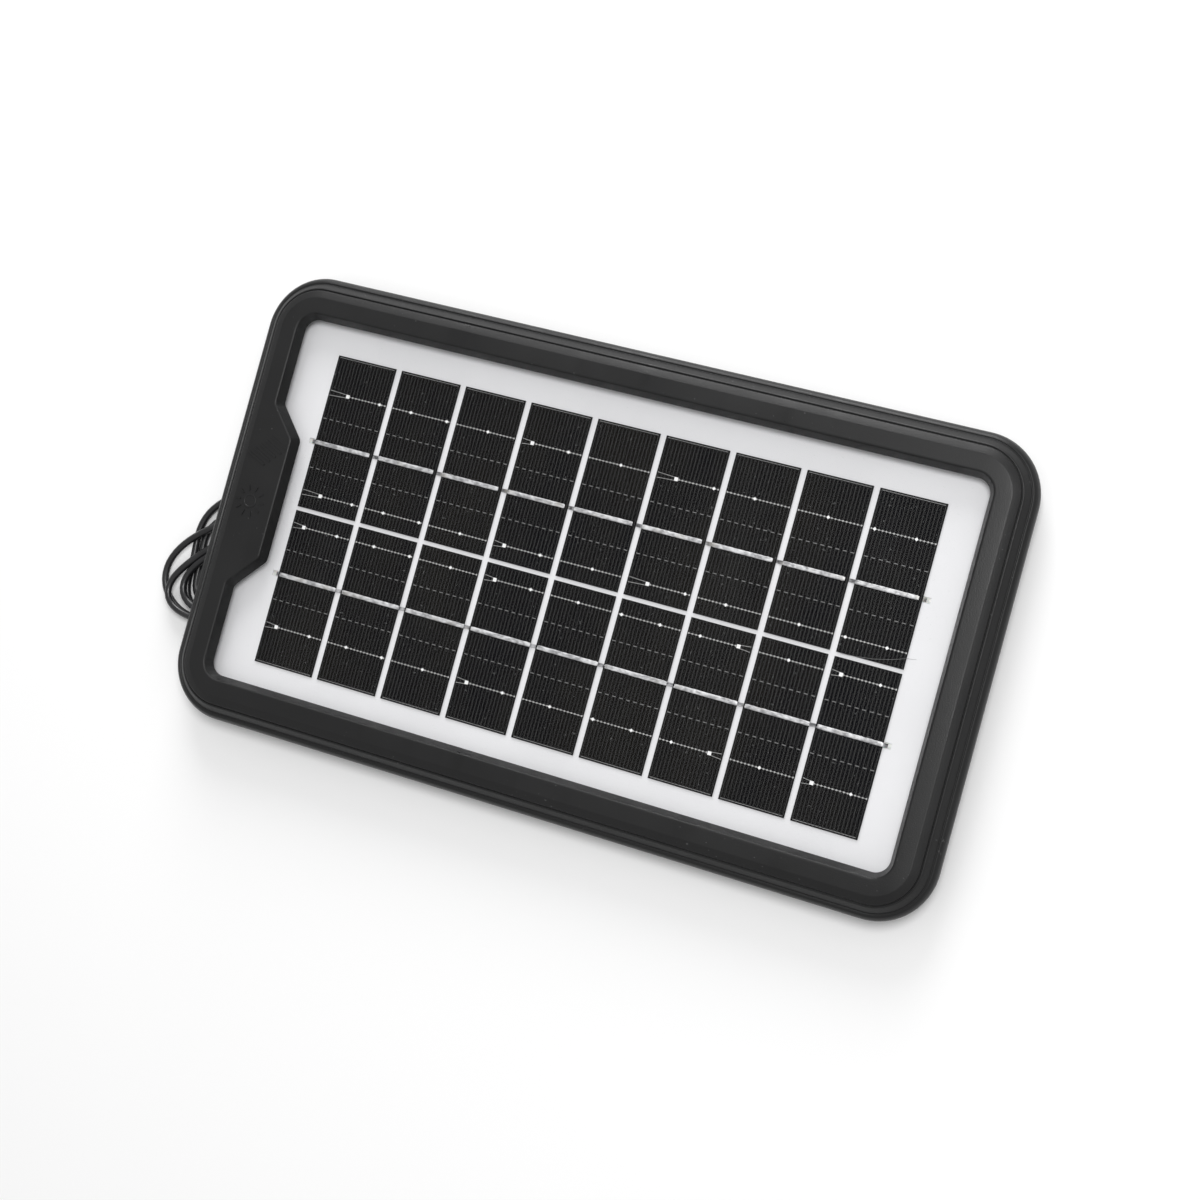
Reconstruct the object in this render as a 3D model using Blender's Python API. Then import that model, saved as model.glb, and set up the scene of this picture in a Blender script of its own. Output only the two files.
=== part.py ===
# Small framed solar panel, eighteen cells in two strings of nine, with a thin lead and plug.
# Frame of reference: +X along the long side, +Y across, +Z out of the glass face.
# The origin is under the middle of the frame, on the surface that the panel lies on.
# Metres throughout; MM turns the millimetre figures below into metres.

import math

import bmesh
import bpy
from mathutils import Vector

MM = 0.001

# frame moulding
FRAME_LENGTH = 279 * MM
FRAME_WIDTH = 159.6 * MM
CORNER_RADIUS = 20.5 * MM
CORNER_STEPS = 10
WINDOW_OFFSET = 15.45      # mm from the frame's outer face to the window's edge
TAB_REACH = 9.7            # mm, how far the tab stands into the window
TAB_HALF_FLAT = 21.9       # mm, half of the tab's straight edge
TAB_RAMP = 11.0            # mm, length of each slanted end of the tab
TAB_ROUND = 1.1            # mm, how far a tab corner's rounding starts from the corner

# laminate layers, (bottom, top) in mm above the surface
GLASS = (9.90, 12.90)
FRONT_FILM = (9.45, 9.85)
CELL = (9.00, 9.20)
REAR_FILM = (8.35, 8.75)
BACKSHEET = (8.00, 8.30)
LAMINATE_OFFSET = 12.0     # mm from the frame's outer face to the laminate's edge

# cells
CELLS_PER_STRING = 9
CELL_PITCH = 24.9          # mm
CELL_WIDTH = 22.75         # mm
CELL_LENGTH = 54.7         # mm
STRING_GAP = 1.4           # mm between the two strings
ARRAY_CENTRE = (0.2, -1.0)
RIBBON_INSET = 31.4        # mm from a cell's outer end to its ribbon
RIBBON_WIDTH = 1.2
RIBBON_THICKNESS = 0.15
FRONT_LEVEL = 9.325        # mm, middle of a ribbon on the cells' front
REAR_LEVEL = 8.875         # mm, middle of a ribbon on the cells' back
LEAD_LEVEL = 7.875         # mm, middle of a ribbon behind the backsheet
REAR_REACH = 19.0          # mm of ribbon under a cell
LEAD_COLUMN = 115.2        # mm, where the leads run across the panel, each side

# rear side
CLEARANCE = 0.3            # mm kept between pieces that rest on each other
SCREW_OFFSET = 7.4         # mm from the frame's outer face to a screw's axis
NOTCH = (-53.5, 5.0)       # mm along Y, the cable outlet in the left rim
BOX_CENTRE = (-87.0, 21.0)
BOX_HALF = (21.0, 14.0)
BOX_WALL = 1.3

# lead
CABLE_DIAMETER = 2.5 * MM
CABLE_REST = 1.45          # mm, height of the cable's centre line where it lies flat
RELIEF_EXIT = (-50.0, 21.0, 4.8)
LEAD_ROUTE = [
    (-49.7, 21.0, 4.8), (-44.0, 21.0, 4.7), (-34.0, 20.8, 3.4), (-22.0, 20.4, 1.8), (-8.0, 20.0, CABLE_REST),
    (8.0, 20.4, CABLE_REST), (24.0, 20.6, CABLE_REST), (40.0, 18.2, CABLE_REST), (50.5, 11.0, CABLE_REST),
    (52.5, 1.5, CABLE_REST), (46.0, -6.4, CABLE_REST), (35.0, -9.8, CABLE_REST), (22.3, -10.2, CABLE_REST)]
TAIL_ROUTE = [
    (22.3, -39.2, CABLE_REST), (32.0, -39.3, CABLE_REST), (43.0, -41.0, CABLE_REST), (54.0, -44.6, 1.7),
    (63.0, -47.2, 2.6), (69.0, -48.0, 3.6), (74.7, -48.0, 3.9)]
HANK_SIDES = [             # (x, lower y, upper y) of the hank's outline, left to right
    (-160.3, -38.0, -34.5), (-158.5, -42.8, -28.5), (-153.0, -47.8, -19.5), (-146.0, -50.3, -6.5),
    (-138.0, -50.5, 0.0), (-128.0, -48.0, 2.2), (-112.0, -43.6, -0.2), (-95.0, -38.2, -7.2),
    (-78.0, -34.6, -13.8), (-61.5, -33.7, -15.7), (-45.0, -34.5, -14.8), (-28.0, -37.5, -12.0),
    (-10.0, -40.6, -8.8), (6.0, -41.9, -7.6), (20.0, -41.4, -8.1), (22.0, -40.6, -8.9)]
HANK_LEVELS = (0.2, 5.4)
TIE_PLACE = (-61.5, -24.7)
TIE_INSIDE = (9.5, 2.8)    # mm, half the width and height that the tie goes round
TIE_HEIGHT = 3.55
PLUG_START = (75.0, -48.0, 3.9)

FINISHES = {
    "moulded_black": ((0.022, 0.022, 0.023), 0.45, 0.0),
    "clear_glass": ((0.92, 0.95, 0.94), 0.04, 0.0),
    "clear_film": ((0.93, 0.93, 0.92), 0.20, 0.0),
    "silicon": ((0.010, 0.011, 0.014), 0.25, 0.3),
    "tinned_copper": ((0.72, 0.73, 0.74), 0.30, 1.0),
    "white_sheet": ((0.78, 0.79, 0.80), 0.40, 0.0),
    "gasket_foam": ((0.030, 0.030, 0.030), 0.90, 0.0),
    "cable_sheath": ((0.015, 0.015, 0.016), 0.35, 0.0),
    "nickel": ((0.66, 0.64, 0.60), 0.22, 1.0),
    "screw_steel": ((0.36, 0.36, 0.37), 0.35, 1.0),
    "diode_epoxy": ((0.03, 0.03, 0.03), 0.40, 0.0),
}


def clear_scene():
    for item in list(bpy.data.objects):
        bpy.data.objects.remove(item, do_unlink=True)


def finish(name):
    material = bpy.data.materials.get(name)
    if material is None:
        colour, roughness, metallic = FINISHES[name]
        material = bpy.data.materials.new(name)
        material.use_nodes = True
        shader = material.node_tree.nodes["Principled BSDF"]
        shader.inputs["Base Color"].default_value = (*colour, 1.0)
        shader.inputs["Roughness"].default_value = roughness
        shader.inputs["Metallic"].default_value = metallic
    return material


def add_object(name, mesh, finish_name):
    item = bpy.data.objects.new(name, mesh)
    bpy.context.scene.collection.objects.link(item)
    item.data.materials.append(finish(finish_name))
    return item


def skin(name, rings, finish_name, closed=False, smooth=False):
    """One body through a row of rings of (x, y, z) in mm, capped at both ends or closed on itself."""
    work = bmesh.new()
    rows = [[work.verts.new(Vector(point) * MM) for point in ring] for ring in rings]
    count = len(rows[0])
    pairs = list(zip(rows, rows[1:]))
    if closed:
        pairs.append((rows[-1], rows[0]))
    else:
        work.faces.new(rows[0])
        work.faces.new(rows[-1])
    for low, high in pairs:
        for i in range(count):
            j = (i + 1) % count
            work.faces.new((low[i], low[j], high[j], high[i]))
    bmesh.ops.recalc_face_normals(work, faces=work.faces)
    mesh = bpy.data.meshes.new(name)
    work.to_mesh(mesh)
    work.free()
    if smooth:
        mesh.shade_smooth()
        mesh.set_sharp_from_angle(angle=math.radians(35))
    return add_object(name, mesh, finish_name)


def rounded_outline(half_x, half_y, radius, centre=(0.0, 0.0), steps=CORNER_STEPS):
    """Points of a rounded rectangle in mm, anticlockwise from the right side's lower end."""
    points = []
    for quarter, (sx, sy) in enumerate(((1, -1), (1, 1), (-1, 1), (-1, -1))):
        cx = centre[0] + sx * (half_x - radius)
        cy = centre[1] + sy * (half_y - radius)
        for step in range(steps + 1):
            angle = math.radians(90 * (quarter - 1) + 90 * step / steps)
            points.append((cx + radius * math.cos(angle), cy + radius * math.sin(angle)))
    return points


def tab_outline(offset):
    """The tab's three points per corner in mm, down the left side, at an offset from the outer face."""
    ramp_angle = math.atan2(TAB_REACH, TAB_RAMP)
    mitre = (offset - WINDOW_OFFSET) * math.tan(ramp_angle / 2)
    left = -FRAME_LENGTH / MM / 2 + offset
    outer = Vector((left, TAB_HALF_FLAT + TAB_RAMP + mitre))
    inner = Vector((left + TAB_REACH, TAB_HALF_FLAT + mitre))
    along = (inner - outer).normalized() * TAB_ROUND
    down = Vector((0.0, -TAB_ROUND))
    upper = []
    for corner, before, after in ((outer, -down, along), (inner, -along, down)):
        start, end = corner + before, corner + after
        upper += [start, corner * 0.5 + (start + end) * 0.25, end]
    lower = [Vector((point.x, -point.y)) for point in reversed(upper)]
    return [tuple(point) for point in upper + lower]


def frame_outline(offset, tab=False):
    """The frame's outline at an offset in mm from its outer face, with or without the tab's bulge."""
    points = rounded_outline(FRAME_LENGTH / MM / 2 - offset, FRAME_WIDTH / MM / 2 - offset,
                             CORNER_RADIUS / MM - offset)
    bulge = tab_outline(offset)
    if not tab:
        bulge = [(-FRAME_LENGTH / MM / 2 + offset, y) for x, y in tab_outline(WINDOW_OFFSET)]
    after_upper_left = 3 * (CORNER_STEPS + 1)
    return points[:after_upper_left] + bulge + points[after_upper_left:]


def level(outline, height):
    return [(x, y, height) for x, y in outline]


def turn(name, profile, origin, axis, finish_name, sides=16):
    """A turned piece: profile of (distance along the axis, radius) in mm, from end to end."""
    direction = Vector(axis).normalized()
    first = direction.orthogonal().normalized()
    second = direction.cross(first)
    rings = []
    for along, radius in profile:
        ring = []
        for step in range(sides):
            angle = 2 * math.pi * step / sides
            ring.append(Vector(origin) + direction * along
                        + (first * math.cos(angle) + second * math.sin(angle)) * radius)
        rings.append(ring)
    return skin(name, rings, finish_name, smooth=True)


def block(name, low, high, finish_name):
    outline = [(low[0], low[1]), (high[0], low[1]), (high[0], high[1]), (low[0], high[1])]
    return skin(name, [level(outline, low[2]), level(outline, high[2])], finish_name)


def combine(target, tool, operation):
    """A Boolean on the target with a tool that stays a hidden guide."""
    tool.hide_render = True
    tool.display_type = "WIRE"
    change = target.modifiers.new(operation.lower() + "_" + tool.name, "BOOLEAN")
    change.operation = operation
    change.solver = "EXACT"
    change.object = tool


def front_frame():
    """Stepped outer moulding, flat band, sloping lip and the pocket that holds the glass."""
    outer_skin = [
        (1.05, 4.3), (0.2, 8.2), (0.0, 9.8), (0.12, 10.8), (0.55, 11.7), (1.15, 12.4), (1.9, 12.8),
        (2.6, 12.95), (4.35, 15.0), (5.15, 15.25), (5.35, 15.7), (8.0, 16.75)]
    tab_skin = [(13.2, 17.0), (13.7, 16.85), (13.9, 16.5), (WINDOW_OFFSET, 13.3), (WINDOW_OFFSET, 13.15),
                (14.7, 13.15), (14.7, 13.75)]
    inner_skin = [
        (11.6, 13.75), (11.6, 7.0), (10.2, 7.0), (10.2, 14.6), (8.0, 14.5), (6.2, 13.4), (4.1, 11.3),
        (2.7, 10.4), (2.1, 9.0), (2.7, 4.3)]
    rings = [level(frame_outline(offset), height) for offset, height in outer_skin]
    rings += [level(frame_outline(offset, tab=True), height) for offset, height in tab_skin]
    rings += [level(frame_outline(offset), height) for offset, height in inner_skin]
    frame = skin("front_frame", rings, "moulded_black", closed=True)
    for index, (x, y) in enumerate(screw_places()):
        boss = turn(f"boss_guide_{index}", [(2.5, 3.0), (14.3, 3.0)], (x, y, 0), (0, 0, 1), "moulded_black")
        combine(frame, boss, "UNION")
    for index, (x, y) in enumerate(screw_places()):
        pilot = turn(f"pilot_guide_{index}", [(1.0, 1.6), (11.0, 1.6)], (x, y, 0), (0, 0, 1), "moulded_black")
        combine(frame, pilot, "DIFFERENCE")
    outlet = block("outlet_guide", (-145, NOTCH[0], -2), (-132, NOTCH[1], 6.6), "moulded_black")
    combine(frame, outlet, "DIFFERENCE")


def rear_frame():
    """Rear rim with a tongue inside the front moulding and a wall that backs the laminate."""
    profile = [
        (1.12, 4.0), (1.35, 2.6), (1.75, 1.3), (2.4, 0.45), (3.5, 0.0), (13.2, 0.0), (14.0, 0.8), (14.0, 7.7),
        (12.2, 7.7), (12.2, 2.2), (4.1, 2.2), (4.1, 6.2), (3.0, 6.2), (3.0, 4.0)]
    rings = [level(frame_outline(offset), height) for offset, height in profile]
    frame = skin("rear_frame", rings, "moulded_black", closed=True)
    for index, (x, y) in enumerate(screw_places()):
        hole = turn(f"hole_guide_{index}", [(-1.0, 3.1), (1.35, 3.1), (1.35, 1.7), (4.0, 1.7)], (x, y, 0),
                    (0, 0, 1), "moulded_black")
        combine(frame, hole, "DIFFERENCE")
    outer = block("outlet_outer_guide", (-145, NOTCH[0], -2), (-129, NOTCH[1], 8.5), "moulded_black")
    inner = block("outlet_inner_guide", (-129.5, NOTCH[0], -2), (-120, NOTCH[1], 5.8), "moulded_black")
    combine(frame, outer, "DIFFERENCE")
    combine(frame, inner, "DIFFERENCE")


def screw_places():
    reach = (CORNER_RADIUS / MM - SCREW_OFFSET) * math.sqrt(0.5)
    x = FRAME_LENGTH / MM / 2 - CORNER_RADIUS / MM + reach
    y = FRAME_WIDTH / MM / 2 - CORNER_RADIUS / MM + reach
    return [(x, y), (-x, y), (-x, -y), (x, -y)]


def screws():
    profile = [(0.15, 2.0), (0.45, 2.6), (1.05, 2.7), (1.05, 1.3), (9.4, 1.3), (10.2, 0.4)]
    for index, (x, y) in enumerate(screw_places()):
        turn(f"frame_screw_{index + 1}", profile, (x, y, 0), (0, 0, 1), "screw_steel", sides=12)


def seal_gasket():
    profile = [(12.3, 12.95), (14.2, 12.95), (14.2, 13.45), (12.3, 13.45)]
    rings = [level(frame_outline(offset), height) for offset, height in profile]
    skin("seal_gasket", rings, "gasket_foam", closed=True)


def laminate_sheet(name, layer, inset, finish_name):
    """A full-size layer of the laminate, inset a little in mm from the glass edge."""
    offset = LAMINATE_OFFSET + inset
    half_x, half_y = FRAME_LENGTH / MM / 2 - offset, FRAME_WIDTH / MM / 2 - offset
    outline = rounded_outline(half_x, half_y, CORNER_RADIUS / MM - offset)
    return skin(name, [level(outline, layer[0]), level(outline, layer[1])], finish_name)


def cell_left(column):
    array_width = (CELLS_PER_STRING - 1) * CELL_PITCH + CELL_WIDTH
    return ARRAY_CENTRE[0] - array_width / 2 + column * CELL_PITCH


def cell_right(column):
    return cell_left(column) + CELL_WIDTH


def string_top(string):
    """Upper edge of a string's cells: string 0 is the upper one."""
    return ARRAY_CENTRE[1] + CELL_LENGTH + STRING_GAP / 2 if string == 0 else ARRAY_CENTRE[1] - STRING_GAP / 2


def ribbon_row(string):
    if string == 0:
        return string_top(0) - RIBBON_INSET
    return string_top(1) - CELL_LENGTH + RIBBON_INSET


def slit_places():
    """Middle of each slit that a ribbon passes to get behind the backsheet."""
    left = cell_left(0) - 1.3
    right = cell_right(CELLS_PER_STRING - 1) + 1.3
    return [(x, ribbon_row(string)) for x in (left, right) for string in (0, 1)]


def laminate():
    laminate_sheet("cover_glass", GLASS, 0.0, "clear_glass")
    laminate_sheet("front_encapsulant", FRONT_FILM, 0.5, "clear_film")
    for name, layer, finish_name in (("rear_encapsulant", REAR_FILM, "clear_film"),
                                     ("backsheet", BACKSHEET, "white_sheet")):
        sheet = laminate_sheet(name, layer, 0.5, finish_name)
        for index, (x, y) in enumerate(slit_places()):
            low, high = (x - 1.3, y - 1.0, 7.5), (x + 1.3, y + 1.0, 9.0)
            slit = block(f"{name}_slit_guide_{index}", low, high, finish_name)
            combine(sheet, slit, "DIFFERENCE")


def cells():
    for string, letter in enumerate("ab"):
        top = string_top(string)
        for column in range(CELLS_PER_STRING):
            block(f"cell_{letter}{column + 1}", (cell_left(column), top - CELL_LENGTH, CELL[0]),
                  (cell_right(column), top, CELL[1]), "silicon")


def ribbon(name, points):
    """A flat ribbon along points in mm, mitred where it bends or turns."""
    path = [Vector(point) for point in points]
    runs = [(end - start).normalized() for start, end in zip(path, path[1:])]
    rings = []
    for index, point in enumerate(path):
        before = runs[max(index - 1, 0)]
        after = runs[min(index, len(runs) - 1)]
        sides = [run.cross(Vector((0, 0, 1))).normalized() for run in (before, after)]
        ups = [side.cross(run) for side, run in zip(sides, (before, after))]
        side = (sides[0] + sides[1]) / (1 + sides[0].dot(sides[1])) * RIBBON_WIDTH / 2
        up = (ups[0] + ups[1]) / (1 + ups[0].dot(ups[1])) * RIBBON_THICKNESS / 2
        rings.append([point - side - up, point + side - up, point + side + up, point - side + up])
    skin(name, rings, "tinned_copper")


def string_ribbons(string, letter):
    """Each ribbon runs from the front of its cell to the back of the next one along the string."""
    y = ribbon_row(string)
    step = -1 if string == 0 else 1
    free_end = 1.2 if string == 0 else 0.5
    for column in range(CELLS_PER_STRING):
        near, far = (cell_left, cell_right) if string == 0 else (cell_right, cell_left)
        edge = near(column)
        front = [(far(column) + step * free_end, y, FRONT_LEVEL), (edge + step * 0.45, y, FRONT_LEVEL)]
        next_column = column + step
        if 0 <= next_column < CELLS_PER_STRING:
            back = [(edge + step * 1.6, y, REAR_LEVEL), (edge + step * (2.15 + REAR_REACH), y, REAR_LEVEL)]
        elif string == 0:
            back = [(edge + step * 2.0, y, LEAD_LEVEL), (-LEAD_COLUMN, y, LEAD_LEVEL),
                    (-LEAD_COLUMN, y + 4.5, LEAD_LEVEL), (-99.0, y + 4.5, LEAD_LEVEL)]
        else:
            back = [(edge + step * 2.0, y, LEAD_LEVEL), (LEAD_COLUMN + 1.2, y, LEAD_LEVEL)]
        ribbon(f"ribbon_{letter}{column + 1}", front + back)


def end_ribbons():
    """The string that joins the two rows at the right, and the lead from the lower row at the left."""
    last = cell_right(CELLS_PER_STRING - 1)
    first = cell_left(0)
    upper, lower = ribbon_row(0), ribbon_row(1)
    ribbon("cross_ribbon", [
        (last - REAR_REACH, upper, REAR_LEVEL), (last + 0.45, upper, REAR_LEVEL), (last + 2.0, upper, LEAD_LEVEL),
        (LEAD_COLUMN, upper, LEAD_LEVEL), (LEAD_COLUMN, lower + RIBBON_WIDTH / 2 + CLEARANCE, LEAD_LEVEL)])
    ribbon("positive_ribbon", [
        (first + REAR_REACH, lower, REAR_LEVEL), (first - 0.45, lower, REAR_LEVEL), (first - 2.0, lower, LEAD_LEVEL),
        (-LEAD_COLUMN, lower, LEAD_LEVEL), (-LEAD_COLUMN, 14.0, LEAD_LEVEL), (-99.0, 14.0, LEAD_LEVEL)])


def box_outline(inset):
    return rounded_outline(BOX_HALF[0] - inset, BOX_HALF[1] - inset, 3.2 - inset, BOX_CENTRE, steps=4)


def junction_box():
    """A low box bonded to the backsheet, with a snap-in lid, the diode and the bush for the lead."""
    wall = [(0.0, 2.0), (0.0, 7.7), (BOX_WALL, 7.7), (BOX_WALL, 2.0)]
    box = skin("junction_box", [level(box_outline(inset), height) for inset, height in wall], "moulded_black",
               closed=True)
    box_right = BOX_CENTRE[0] + BOX_HALF[0]
    opening = turn("bush_guide", [(-3.0, 2.5), (1.0, 2.5)], (box_right, RELIEF_EXIT[1], RELIEF_EXIT[2]), (1, 0, 0),
                   "moulded_black")
    combine(box, opening, "DIFFERENCE")
    lid = [(1.0, 0.9), (0.2, 1.15), (0.0, 1.7), (BOX_WALL + 0.3, 1.7), (BOX_WALL + 0.3, 2.2), (BOX_WALL + 1.3, 2.2),
           (BOX_WALL + 1.3, 1.9)]
    skin("junction_box_lid", [level(box_outline(inset), height) for inset, height in lid], "moulded_black")
    turn("blocking_diode", [(-7.5, 0.35), (-2.4, 0.35), (-2.2, 1.25), (2.2, 1.25), (2.4, 0.35), (7.5, 0.35)],
         (BOX_CENTRE[0] - 1.0, 14.0, 5.4), (1, 0, 0), "diode_epoxy", sides=12)
    bush = [(-2.2, 2.2), (0.3, 2.2), (0.3, 2.75), (2.2, 2.75), (3.2, 2.5), (15.4, 1.75), (16.0, 1.6)]
    turn("strain_relief", bush, (box_right, RELIEF_EXIT[1], RELIEF_EXIT[2]), (1, 0, 0), "cable_sheath")


def smooth_points(route, spacing):
    """Points about a spacing apart in mm on the smooth curve through a route's points."""
    knots = [Vector(point) for point in route]
    padded = [knots[0] * 2 - knots[1]] + knots + [knots[-1] * 2 - knots[-2]]
    points = []
    for before, start, end, after in zip(padded, padded[1:], padded[2:], padded[3:]):
        pieces = max(1, round((end - start).length / spacing))
        for step in range(pieces):
            t = step / pieces
            points.append(0.5 * (2 * start + (end - before) * t + (2 * before - 5 * start + 4 * end - after) * t * t
                                 + (3 * start - before - 3 * end + after) * t * t * t))
    return points + [knots[-1]]


def tube(name, route):
    curve = bpy.data.curves.new(name, "CURVE")
    curve.dimensions = "3D"
    curve.bevel_depth = CABLE_DIAMETER / 2
    curve.bevel_resolution = 2
    curve.resolution_u = 1
    curve.render_resolution_u = 0
    curve.use_fill_caps = True
    points = smooth_points(route, 2.5 * CABLE_DIAMETER / MM)
    spline = curve.splines.new("POLY")
    spline.points.add(len(points) - 1)
    for spot, point in zip(spline.points, points):
        spot.co = (*(point * MM), 1.0)
    return add_object(name, curve, "cable_sheath")


def cable_hank():
    """The tied loops of spare cable as one plain body, lifted a little where the tie passes under."""
    rings = []
    for x, low_y, high_y in smooth_points(HANK_SIDES, 6.0):
        lift = math.exp(-((x - TIE_PLACE[0]) / 8.0) ** 2)
        low = HANK_LEVELS[0] + 0.9 * lift
        top = HANK_LEVELS[1] + 0.6 * lift
        edge = min(1.3, 0.3 * (high_y - low_y))
        section = [(low_y, low + 1.3), (low_y + edge, low), (high_y - edge, low), (high_y, low + 1.3),
                   (high_y, top - 1.3), (high_y - edge, top), (low_y + edge, top), (low_y, top - 1.3)]
        rings.append([(x, y, z) for y, z in section])
    skin("cable_hank", rings, "cable_sheath")


def twist_tie():
    """A wire tie round the hank's waist, with its twisted ends lying beside the hank."""
    x, y = TIE_PLACE
    outlines = []
    for grow in (0.0, 0.55):
        outlines.append(rounded_outline(TIE_INSIDE[0] + grow, TIE_INSIDE[1] + grow, 0.6 + grow, (y, TIE_HEIGHT),
                                        steps=2))
    inner, outer = outlines
    rings = []
    for outline, side in ((inner, -1.2), (outer, -1.2), (outer, 1.2), (inner, 1.2)):
        rings.append([(x + side, across, height) for across, height in outline])
    tie = skin("twist_tie", rings, "cable_sheath", closed=True)
    start = (x, y + TIE_INSIDE[0] + 0.25, TIE_HEIGHT)
    profile = [(0.0, 0.8), (9.0, 0.8), (9.5, 0.5)]
    ends = turn("tie_ends_guide", profile, start, (0.35, 1.0, 0.0), "cable_sheath", sides=8)
    combine(tie, ends, "UNION")


def plug():
    body = [(0.0, 1.7), (0.5, 1.9), (8.0, 2.3), (8.6, 3.2), (9.6, 3.5), (25.0, 3.5), (26.0, 3.1), (26.0, 2.6)]
    turn("plug_body", body, PLUG_START, (1, 0, 0), "cable_sheath")
    barrel = [(26.3, 1.75), (35.5, 1.75), (35.8, 1.5), (35.8, 0.7), (29.5, 0.7)]
    turn("plug_barrel", barrel, PLUG_START, (1, 0, 0), "nickel")


def build():
    clear_scene()
    front_frame()
    rear_frame()
    screws()
    seal_gasket()
    laminate()
    cells()
    for string, letter in enumerate("ab"):
        string_ribbons(string, letter)
    end_ribbons()
    junction_box()
    tube("cable_lead", LEAD_ROUTE)
    tube("cable_tail", TAIL_ROUTE)
    cable_hank()
    twist_tie()
    plug()


build()
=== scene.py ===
import math

import bmesh
import bpy
import numpy as np
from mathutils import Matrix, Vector, noise


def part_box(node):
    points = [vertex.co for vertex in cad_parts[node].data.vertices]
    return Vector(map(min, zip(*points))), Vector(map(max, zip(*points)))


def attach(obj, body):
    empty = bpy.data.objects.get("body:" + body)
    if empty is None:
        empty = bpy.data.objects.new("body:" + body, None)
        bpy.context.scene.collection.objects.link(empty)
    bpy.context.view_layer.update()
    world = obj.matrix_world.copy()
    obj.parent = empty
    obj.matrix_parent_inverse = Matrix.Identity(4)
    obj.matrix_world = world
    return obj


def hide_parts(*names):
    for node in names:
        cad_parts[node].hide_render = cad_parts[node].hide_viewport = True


mm = 0.001

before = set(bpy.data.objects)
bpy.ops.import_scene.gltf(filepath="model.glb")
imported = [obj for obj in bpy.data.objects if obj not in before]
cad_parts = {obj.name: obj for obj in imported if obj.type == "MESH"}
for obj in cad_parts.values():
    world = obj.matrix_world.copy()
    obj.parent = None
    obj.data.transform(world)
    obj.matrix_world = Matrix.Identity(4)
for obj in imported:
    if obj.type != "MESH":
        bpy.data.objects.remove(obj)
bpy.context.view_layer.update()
print("frame loaded,", len(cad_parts), "parts")


# camera, floor and light

viewSetup = {
    "place": (0.2598, -0.0089, 0.7381),      # metres, where the camera stands
    "turn": (6.325, 18.173, 16.181),         # degrees about X, Y and Z
    "lens": 69.54,
    "shift": (-0.00667, -0.025),
}

studio = {
    "worldStrength": 0.54,
    "floorColour": (0.93, 0.93, 0.93),
    "floorSize": 6.0,
    "lamps": [                               # name, place, size, power in watts
        ("windowLamp", (-0.3, 1.4, 0.55), 0.9, 15.0),
        ("softBox", (0.34, 0.26, 1.2), 0.5, 7.6),
    ],
}


def setCamera():
    lens = bpy.data.cameras.new("viewCamera")
    lens.lens = viewSetup["lens"]
    lens.sensor_width = 36
    lens.shift_x, lens.shift_y = viewSetup["shift"]
    camera = bpy.data.objects.new("viewCamera", lens)
    bpy.context.scene.collection.objects.link(camera)
    camera.location = viewSetup["place"]
    camera.rotation_euler = [math.radians(angle) for angle in viewSetup["turn"]]
    bpy.context.scene.camera = camera


def setLamps():
    world = bpy.data.worlds.new("studioWorld")
    world.use_nodes = True
    background = world.node_tree.nodes["Background"]
    background.inputs["Color"].default_value = (1, 1, 1, 1)
    background.inputs["Strength"].default_value = studio["worldStrength"]
    bpy.context.scene.world = world
    for name, place, size, power in studio["lamps"]:
        lamp = bpy.data.lights.new(name, "AREA")
        lamp.shape = "DISK"
        lamp.size = size
        lamp.energy = power
        holder = bpy.data.objects.new(name, lamp)
        bpy.context.scene.collection.objects.link(holder)
        holder.location = place
        holder.rotation_euler = (-Vector(place)).to_track_quat("-Z", "Y").to_euler()
    bpy.context.scene.view_settings.view_transform = "Standard"


# material helpers

def startMaterial(name, colour, roughness, metallic=0.0, shine=0.5):
    material = bpy.data.materials.new(name)
    material.use_nodes = True
    shader = material.node_tree.nodes["Principled BSDF"]
    shader.inputs["Base Color"].default_value = (*colour, 1)
    shader.inputs["Roughness"].default_value = roughness
    shader.inputs["Metallic"].default_value = metallic
    shader.inputs["Specular IOR Level"].default_value = shine
    return material, shader


def addNode(material, kind, **inputs):
    node = material.node_tree.nodes.new("ShaderNode" + kind)
    for name, value in inputs.items():
        node.inputs[name].default_value = value
    return node


def join(material, source, target):
    material.node_tree.links.new(source, target)


def grain(material, size, detail=2.0, stretch=(1, 1, 1), turn=0.0):
    # noise with blotches about size metres across, in the piece's own space
    place = addNode(material, "TexCoord")
    mapping = addNode(material, "Mapping")
    mapping.inputs["Scale"].default_value = stretch
    mapping.inputs["Rotation"].default_value = (0, 0, math.radians(turn))
    pattern = addNode(material, "TexNoise", Scale=1.0 / size, Detail=detail)
    join(material, place.outputs["Object"], mapping.inputs["Vector"])
    join(material, mapping.outputs["Vector"], pattern.inputs["Vector"])
    return pattern.outputs["Fac"]


def remap(material, source, low, high, toLow=0.0, toHigh=1.0):
    node = addNode(material, "MapRange")
    for index, value in enumerate((low, high, toLow, toHigh), start=1):
        node.inputs[index].default_value = value
    join(material, source, node.inputs[0])
    return node.outputs[0]


def combine(material, operation, first, second):
    node = addNode(material, "Math")
    node.operation = operation
    for socket, value in zip(node.inputs, (first, second)):
        if isinstance(value, (int, float)):
            socket.default_value = value
        else:
            join(material, value, socket)
    return node.outputs[0]


def mixColours(material, factor, first, second):
    mix = addNode(material, "Mix")
    mix.data_type = "RGBA"
    for socket, colour in ((mix.inputs[6], first), (mix.inputs[7], second)):
        if isinstance(colour, tuple):
            socket.default_value = (*colour, 1)
        else:
            join(material, colour, socket)
    join(material, factor, mix.inputs[0])
    return mix.outputs[2]


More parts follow.
